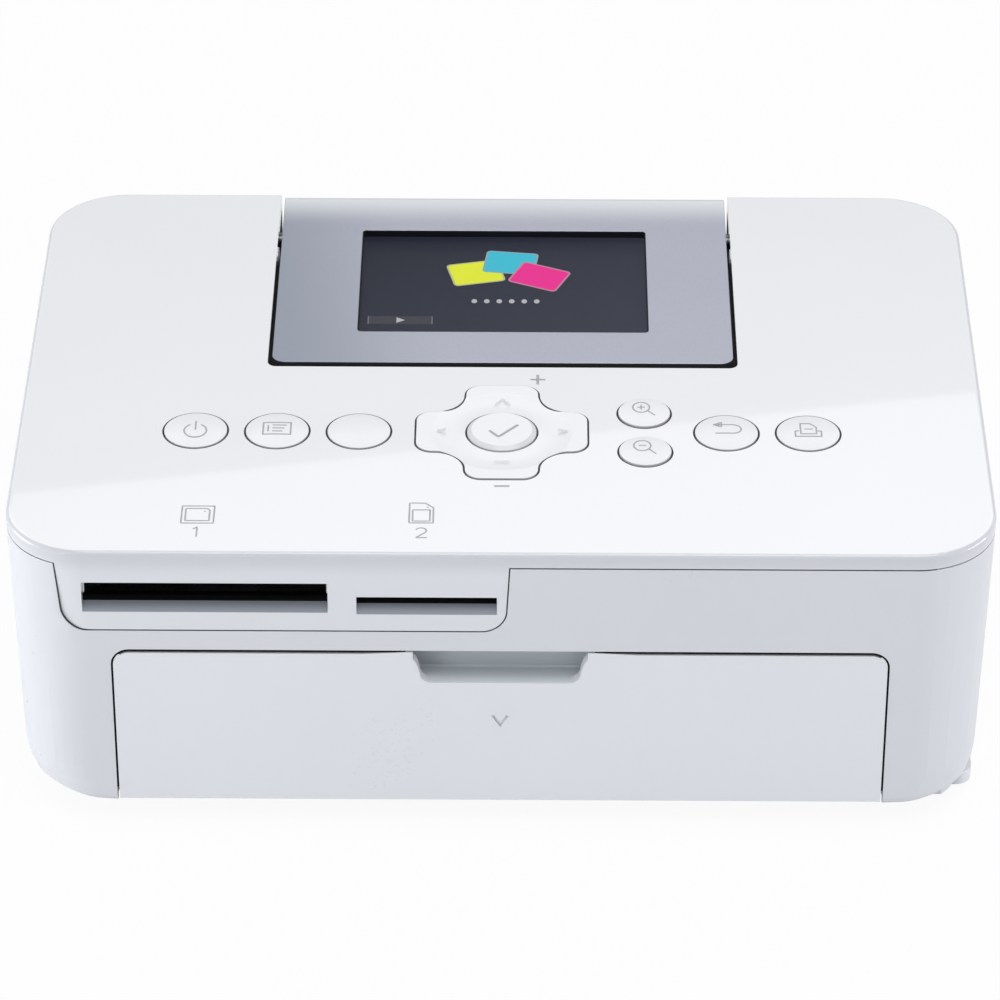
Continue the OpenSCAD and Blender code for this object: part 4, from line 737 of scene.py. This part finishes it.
PAD_MARKS = [[(-1.3, -14.4), (0.1, -12.4), (1.5, -14.4)], [(-10.2, -22.5), (-11.9, -23.3), (-10.2, -24.1)],
             [(10.4, -22.5), (12.1, -23.3), (10.4, -24.1)], [(-1.3, -33.6), (1.6, -33.6)]]


def legend(name, lines, width, level, body, finish):
    """Printed lines on the surface whose height is level(x, y)."""
    stroke(name, lines, width, INK_HEIGHT, body, finish, lambda x, y, h: (x, y, level(x, y) + h))


def flat(z):
    """Level of a flat surface."""
    return lambda x, y: z


def domed(cx, cy):
    """Level of a key's domed top round its centre."""
    def level(x, y):
        far = math.hypot(x - cx, y - cy)
        return CAP_Z - CAP_DOME + math.sqrt(CAP_DOME ** 2 - far ** 2) + 0.8 * INK_HEIGHT
    return level


def print_legends():
    """Prints the keys' icons and the marks on the lid, the OK key and the pad."""
    ink = moulded("grey_ink", (0.42, 0.42, 0.44), 0.4, 2.0, 0.001)
    pale = moulded("pale_ink", (0.78, 0.78, 0.80), 0.4, 2.0, 0.001)
    for key, icon in KEY_ICONS.items():
        cx, cy = KEY_PLACES[key + "_button"]
        lines = [[(x + cx, y + cy) for x, y in line] for line in icon]
        legend(key + ".icon", lines, THIN, domed(cx, cy), key + "_button", ink)
    on_lid = flat(TOP_Z + 0.5 * INK_HEIGHT)
    legend("lid.legends", CARD_ICONS + NUMBERS, THIN, on_lid, "root", ink)
    legend("lid.signs", PLUS_MINUS, BOLD, on_lid, "root", ink)
    legend("ok.mark", CHECK_MARK, BOLD, flat(OK_Z + INK_HEIGHT), "ok_button", ink)
    on_pad = flat(CAP_Z - PAD_DROP + INK_HEIGHT)
    legend("pad.marks", PAD_MARKS, THIN, on_pad, "direction_pad", pale)


# ---- screen picture ----

PICTURE_Z = 57.905
SHEET = (10.2, 8.2)
SHEET_RIM = 0.4
SHEET_GLOW = 1.35
# name, colour, place of the middle and turn
SHEETS = (("yellow", (0.92, 1.0, 0.04), -5.4, 37.6, 13),
          ("cyan", (0.06, 0.62, 0.80), 1.3, 41.4, -7),
          ("magenta", (1.0, 0.03, 0.34), 6.9, 36.2, -24))
DOTS = 6
DOT_START = (-5.6, 27.0)
DOT_STEP = 2.4
BAR_PLACE = (-19.7, 19.9)
BAR_SIZE = (12.0, 2.9)
BAR_ENDS = (-25.8, -13.6)


def lit(name, colour, strength=1.0):
    """A glowing patch of the display, a little uneven as a backlight is."""
    patch = Finish(name, Base_Color=(0.01, 0.01, 0.012), Roughness=0.4, Specular_IOR_Level=0.1,
                   Emission_Strength=strength)
    patch.glow(patch.mix(patch.noise(60, 2), tuple(c * 0.9 for c in colour), colour))
    return patch


def picture_part(name, outline, low, high, finish):
    """A plate of the picture, from low to high above the display."""
    plate("picture." + name, outline, PICTURE_Z + low, PICTURE_Z + high, "screen_unit", finish)


def show_picture():
    """The display's picture: three tilted sheets over a dark ground, a row of dots and a grey bar."""
    ground = Finish("screen_ground", Base_Color=(0.012, 0.012, 0.016), Roughness=0.5, Specular_IOR_Level=0.1,
                    Emission_Strength=1.0)
    along = (ground.axis("X") + 28) / 56 * 0.5 + (52 - ground.axis("Y")) / 40 * 0.5
    ground.glow(ground.mix(along.clamped(), (0.024, 0.026, 0.043), (0.058, 0.063, 0.094)))
    picture_part("ground", turned_sheet(0, 32.0, 55.6, 40.4, 0, 0.5), 0.0, 0.02, ground)
    w, h = SHEET
    for level, (name, colour, x, y, angle) in enumerate(SHEETS):
        low = 0.022 + 0.02 * level
        rim = lit(name + "_rim", tuple(min(1.0, c * 0.5 + 0.35) for c in colour))
        picture_part(name + ".rim", turned_sheet(x, y, w, h, angle), low, low + 0.008, rim)
        inner = turned_sheet(x, y, w - 2 * SHEET_RIM, h - 2 * SHEET_RIM, angle, 0.6)
        picture_part(name, inner, low + 0.008, low + 0.016, lit(name + "_sheet", colour, SHEET_GLOW))
    white = lit("screen_white", (0.75, 0.75, 0.78))
    for i in range(DOTS):
        dot = arc(DOT_START[0] + DOT_STEP * i, DOT_START[1], 0.55, 0.75, 0, 330, 11)
        picture_part("dot%d" % i, dot, 0.03, 0.05, white)
    bar_grey = lit("screen_bar", (0.085, 0.088, 0.105))
    picture_part("bar", turned_sheet(*BAR_PLACE, *BAR_SIZE, 0, 0.2), 0.03, 0.04, bar_grey)
    rim = lit("screen_bar_rim", (0.3, 0.3, 0.34))
    for i, x in enumerate(BAR_ENDS):
        end = turned_sheet(x, BAR_PLACE[1], 0.2, BAR_SIZE[1], 0, 0.05)
        picture_part("bar.end%d" % i, end, 0.041, 0.05, rim)
    picture_part("bar.mark", [(-20.4, 20.9), (-20.4, 18.9), (-18.8, 19.9)], 0.041, 0.05, white)


# ---- card slots and finger pocket ----

# name: (left end, right end, height of the lower edge, share of the ramp that the lip covers)
SLOT_LIPS = {"wide": (-74.7, -30.8, 47.4, 0.69), "small": (-25.7, -0.6, 47.1, 0.62)}
RAMP_DEPTH = 2.0
RAMP_TOP = 49.7
THROAT_DEPTH = 3.4
THROAT_WALL = 0.1
SKIN = 0.05
PROUD = 0.02


def slot_linings():
    """Grey lips on the slots' ramps, painted darker deeper in as painted shade, and black throats behind them,
    partly a dark socket and partly painted shadow.
    """
    grey = Finish("slot_lip", Roughness=0.4, Specular_IOR_Level=0.3)
    # painted shade: the lip's grey darkens deeper into the slot
    depth = grey.step(grey.axis("Z"), 47.2, 49.1)
    grey.colour(grey.mix(depth, (0.28, 0.305, 0.345), (0.12, 0.13, 0.15)))
    # the black throat is partly a dark socket and partly painted shadow
    black = moulded("slot_throat", (0.002, 0.002, 0.002), 0.7, 0.8, 0.004, Specular_IOR_Level=0.05)
    for name, (x0, x1, z, share) in SLOT_LIPS.items():
        front = front_y(z) + PROUD
        split = (front + RAMP_DEPTH * share, z + (RAMP_TOP - z) * share)
        split_under = (split[0] + SKIN, split[1] - SKIN)
        top = (front + RAMP_DEPTH, RAMP_TOP)
        deep = (front + THROAT_DEPTH, RAMP_TOP)
        lip = [(front, z + PROUD), split, split_under, (front + SKIN, z - SKIN)]
        throat = [split, top, deep, (deep[0], deep[1] - THROAT_WALL), (top[0], top[1] - THROAT_WALL), split_under]
        for part, profile, finish in (("lip", lip, grey), ("throat", throat, black)):
            raised = [(y, level + SKIN) for y, level in profile]
            bar(name + "_slot." + part, raised, x0 + SKIN, x1 - SKIN, "root", finish)


POCKET_NEAR = 2.1
POCKET_WALL = 0.6
OVERLAP = 0.1


def pocket_part(name, profile, x0, x1, finish):
    """A bar of the finger pocket, which opens with the paper door."""
    bar("pocket." + name, profile, x0, x1, "paper_door", finish)


def finger_pocket():
    """Shallow tray behind the paper door's finger notch, its floor painted lighter and its walls painted darker, as
    painted light and shade.
    """
    # painted light and shade: the floor gets a lighter grey and the back and side walls a darker copy of it
    grey = moulded("pocket_painted_light", (0.77, 0.82, 0.85), 0.38, 0.9, 0.001)
    shade = moulded("pocket_painted_shade", (0.50, 0.54, 0.57), 0.38, 0.9, 0.001)
    front = front_y(NOTCH_FOOT_Z)
    near, far = front + POCKET_NEAR, front + POCKET_DEPTH
    foot, under = NOTCH_FOOT_Z - 0.02, NOTCH_FOOT_Z - POCKET_WALL
    half, wide = POCKET_HALF, POCKET_HALF + POCKET_WALL
    floor = [(near, under), (far, under), (far, foot + 0.3), (far - 0.5, foot), (near, foot)]
    pocket_part("floor", floor, -half, half, grey)
    flat_half = NOTCH_HALF - NOTCH_R + 0.3
    sill = [(front + 0.25, foot - OVERLAP), (near + 0.2, foot - OVERLAP), (near + 0.2, foot + 0.06),
            (front + 0.3, foot + 0.06)]
    pocket_part("sill", sill, -flat_half, flat_half, grey)
    back = [(far - OVERLAP, under), (far + POCKET_WALL, under), (far + POCKET_WALL, POCKET_TOP),
            (far - OVERLAP, POCKET_TOP)]
    pocket_part("back", back, -wide, wide, shade)
    side = [(near, under), (far, under), (far, POCKET_TOP), (near, POCKET_TOP)]
    pocket_part("side0", side, -wide, -half, shade)
    pocket_part("side1", side, half, wide, shade)


# ---- dark lines in the gaps: painted shadow ----

DOOR_SHADOW_X = 69.88
DOOR_SHADOW_FOOT = 7.5
DOOR_SHADOW_Z = 38.8
DOOR_SHADOW_R = 3.2
DOOR_SHADOW_WIDTH = 0.42
DOOR_SHADOW_DEPTH = 1.4
DOOR_SHADOW_BEHIND = 0.2
SEAM_X = (-79.475, 1.675)
SEAM_Z = (43.425, 57.375)
SEAM_R = 4.275
SEAM_END = 77.5
SEAM_HEIGHT = 0.3
SEAM_BEHIND = 0.14
APRON_SEAM_WIDTH = 0.26
LID_SEAM_WIDTH = 0.15
CORNER_START = 74.0
CORNER_CURVE = 0.0347
RING_GAP = 0.25
RING_WIDTH = 0.17
RING_HEIGHT = 0.2
RING_Z = 60.36
SIDE_SLOPE = 0.1
TOP_SLOPE = 0.9
OUTER_SHARE = 0.55
WINDOW_Y = 30.5
WINDOW_SHADE_OUTER = (55.2, 37.7, 0, 0.8)
WINDOW_SHADE_INNER = (54.9, 37.4, 0, 0.65)
WINDOW_SHADE_Z = (59.12, 60.3)


def door_gap_shadows():
    """Black strip in the paper door's gap, either side of the finger notch: painted shadow in the gap."""
    # painted shadow: a black strip where the door's gap is in shade
    black = moulded("door_gap_black", (0.006, 0.006, 0.007), 0.7, 0.8, 0.004, Specular_IOR_Level=0.1)
    corner = arc(DOOR_SHADOW_X - DOOR_SHADOW_R, DOOR_SHADOW_Z - DOOR_SHADOW_R, DOOR_SHADOW_R, DOOR_SHADOW_R, 0, 90, 8)[1:]
    right = [(DOOR_SHADOW_X, DOOR_SHADOW_FOOT), (DOOR_SHADOW_X, DOOR_SHADOW_Z - DOOR_SHADOW_R)] + corner + [(GAP_X[1], DOOR_SHADOW_Z), (GAP_X[0], DOOR_SHADOW_Z)]
    for i, side in enumerate((-1, 1)):
        path = [(side * x, z) for x, z in right]
        stroke("door_gap_shadow%d" % i, [path], DOOR_SHADOW_WIDTH, DOOR_SHADOW_DEPTH, "paper_door", black,
               lambda x, z, h: (x, front_y(z) + DOOR_SHADOW_BEHIND + DOOR_SHADOW_DEPTH / 2 - h, z))


def in_seam(x, z, h):
    """A point in the front wall's seams, which curve back at the case's corners."""
    back = CORNER_CURVE * max(0.0, abs(x) - CORNER_START) ** 2
    return x, front_y(z) + back + SEAM_BEHIND - h, z


def seam_shadows():
    """Dark strips in the seams round the card apron and under the lid: painted shadow in the seams."""
    # painted shadow: dark strips where the seams are in shade
    dark = moulded("seam_shadow_dark", (0.05, 0.053, 0.06), 0.6, 0.8, 0.004, Specular_IOR_Level=0.1)
    (x0, x1), (low, high), r = SEAM_X, SEAM_Z, SEAM_R
    path = [(x0, high)] + arc(x0 + r, low + r, r, r, 180, 270, 10)
    path += arc(x1 - r, low + r, r, r, 270, 360, 10) + [(x1, high)]
    apron = [(slanted(x, z), z) for x, z in path]
    under = [(x1, high), (SEAM_END, high)]
    for name, line, width in (("apron_seam", apron, APRON_SEAM_WIDTH), ("lid_seam", under, LID_SEAM_WIDTH)):
        stroke(name, [line], width, SEAM_HEIGHT, "root", dark, in_seam)


def rim_path(node):
    """Closed line just outside a key's upper rim, found where its top meets its side."""
    work = bmesh.new()
    work.from_mesh(frame["nodes"][node].data)
    bmesh.ops.remove_doubles(work, verts=work.verts, dist=JOIN_DISTANCE)
    rim = set()
    for edge in work.edges:
        slopes = sorted(abs(face.normal.z) for face in edge.link_faces)
        if edge.verts[0].co.z > TOP_Z * MM and len(slopes) == 2 and slopes[0] < SIDE_SLOPE and slopes[1] > TOP_SLOPE:
            rim.update(tuple(vertex.co / MM)[:2] for vertex in edge.verts)
    work.free()
    cx, cy = ((min(p[axis] for p in rim) + max(p[axis] for p in rim)) / 2 for axis in (0, 1))
    far = {p: math.hypot(p[0] - cx, p[1] - cy) for p in rim}
    outer = [p for p in rim if far[p] > OUTER_SHARE * max(far.values())]
    ring = sorted(outer, key=lambda p: math.atan2(p[1] - cy, p[0] - cx))
    path = []
    for before, here, after in zip(ring[-1:] + ring, ring, ring[1:] + ring[:1]):
        along = math.dist(before, after)
        path.append((here[0] + (after[1] - before[1]) / along * RING_GAP,
                     here[1] - (after[0] - before[0]) / along * RING_GAP))
    return path + path[:1]


def key_gap_shadows():
    """Grey rings on the lid, in the gaps round the keys and the pad: painted shadow in the gaps."""
    # painted shadow: grey rings where the gaps round the keys are in shade
    grey = moulded("gap_shadow_grey", (0.10, 0.10, 0.11), 0.6, 0.8, 0.004, Specular_IOR_Level=0.1)
    for node in [*KEY_PLACES, "direction_pad"]:
        stroke(node + ".ring", [rim_path(node)], RING_WIDTH, RING_HEIGHT, "root", grey,
               lambda x, y, h: (x, y, RING_Z + h))


def window_edge_shade():
    """Dark lining of the window's edge: painted shade on the recess walls round the window."""
    outer = turned_sheet(0, WINDOW_Y, *WINDOW_SHADE_OUTER)
    inner = turned_sheet(0, WINDOW_Y, *WINDOW_SHADE_INNER)
    count = len(outer)
    verts = [(x * MM, y * MM, z * MM) for z in WINDOW_SHADE_Z for ring in (outer, inner) for x, y in ring]
    faces = []
    for i in range(count):
        j = (i + 1) % count
        faces.append((2 * count + i, 2 * count + j, 3 * count + j, 3 * count + i))
        faces.append((count + i, count + j, j, i))
        faces.append((count + j, count + i, 3 * count + i, 3 * count + j))
        faces.append((i, j, 2 * count + j, 2 * count + i))
    mesh = bpy.data.meshes.new("window.edge_shade")
    mesh.from_pydata(verts, [], faces)
    # painted shade: the recess walls round the window drawn black
    black = moulded("window_shade_black", (0.008, 0.009, 0.013), 0.5, 0.8, 0.004, Specular_IOR_Level=0.15)
    settle(new_object("window.edge_shade", mesh), "screen_unit", black)


# ---- stage and light ----

FLOOR_HALF = 4.0
FLOOR_GLOW = 0.93
ROOM_LIGHT = 0.55


def area_light(name, place, target, size, power):
    """Softbox that shines from its place to its target, both in metres, with a power in watts."""
    data = bpy.data.lights.new(name, "AREA")
    data.shape = "RECTANGLE"
    data.size, data.size_y = size
    data.energy = power
    light = new_object(name, data)
    light.visible_camera = False
    light.location = place
    light.rotation_euler = (Vector(target) - Vector(place)).to_track_quat("-Z", "Y").to_euler()
    return light


def make_stage():
    """White floor, which glows for the camera alone and keeps the shadow."""
    mesh = bpy.data.meshes.new("floor")
    half = FLOOR_HALF
    mesh.from_pydata([(-half, -half, 0), (half, -half, 0), (half, half, 0), (-half, half, 0)], [], [(0, 1, 2, 3)])
    floor = new_object("floor", mesh)
    material = bpy.data.materials.new("floor_white")
    material.use_nodes = True
    tree = material.node_tree
    tree.nodes.clear()
    path = tree.nodes.new("ShaderNodeLightPath")
    diffuse = tree.nodes.new("ShaderNodeBsdfDiffuse")
    diffuse.inputs["Color"].default_value = (0.86, 0.86, 0.87, 1)
    glow = tree.nodes.new("ShaderNodeEmission")
    glow.inputs["Color"].default_value = (1, 1, 1, 1)
    mix = tree.nodes.new("ShaderNodeMixShader")
    share = tree.nodes.new("ShaderNodeMath")
    share.operation = "MULTIPLY"
    share.inputs[1].default_value = FLOOR_GLOW
    out = tree.nodes.new("ShaderNodeOutputMaterial")
    tree.links.new(path.outputs["Is Camera Ray"], share.inputs[0])
    tree.links.new(share.outputs[0], mix.inputs[0])
    tree.links.new(diffuse.outputs[0], mix.inputs[1])
    tree.links.new(glow.outputs[0], mix.inputs[2])
    tree.links.new(mix.outputs[0], out.inputs[0])
    mesh.materials.append(material)


def make_world():
    """Soft room light: full white where it is seen directly or through the window."""
    world = bpy.data.worlds.new("studio")
    bpy.context.scene.world = world
    world.use_nodes = True
    tree = world.node_tree
    background = tree.nodes["Background"]
    background.inputs[0].default_value = (0.95, 0.965, 1.0, 1)
    path = tree.nodes.new("ShaderNodeLightPath")
    seen = tree.nodes.new("ShaderNodeMath")
    seen.operation = "MAXIMUM"
    tree.links.new(path.outputs["Is Camera Ray"], seen.inputs[0])
    tree.links.new(path.outputs["Is Transmission Ray"], seen.inputs[1])
    strength = tree.nodes.new("ShaderNodeMapRange")
    strength.inputs["To Min"].default_value = ROOM_LIGHT
    strength.inputs["To Max"].default_value = 1.0
    tree.links.new(seen.outputs[0], strength.inputs[0])
    tree.links.new(strength.outputs[0], background.inputs[1])


def make_lights():
    """Four low or high softboxes, and a tall one behind, whose edge the lid reflects."""
    area_light("top_softbox", (0.12, -0.28, 0.85), (0, 0, 0), (0.7, 0.5), 3.2)
    area_light("left_softbox", (-0.7, -0.05, 0.055), (0, -0.02, 0.02), (0.4, 0.1), 2.2)
    area_light("right_softbox", (0.8, -0.08, 0.055), (0, 0, 0.03), (0.4, 0.1), 1.65)
    area_light("front_left_fill", (-0.75, -1.0, 0.06), (0, 0, 0.03), (0.5, 0.11), 2.0)
    back = area_light("back_softbox", (0.09, 1.5, 1.69), (0.09, 0, 1.69), (3.8, 1.3), 15.5)
    back.rotation_euler.rotate_axis("Z", math.radians(7.5))


bpy.context.scene.view_settings.view_transform = "Standard"
make_camera()
make_stage()
make_world()
make_lights()
dress_all()
print_legends()
show_picture()
window_edge_shade()
slot_linings()
finger_pocket()
door_gap_shadows()
seam_shadows()
key_gap_shadows()
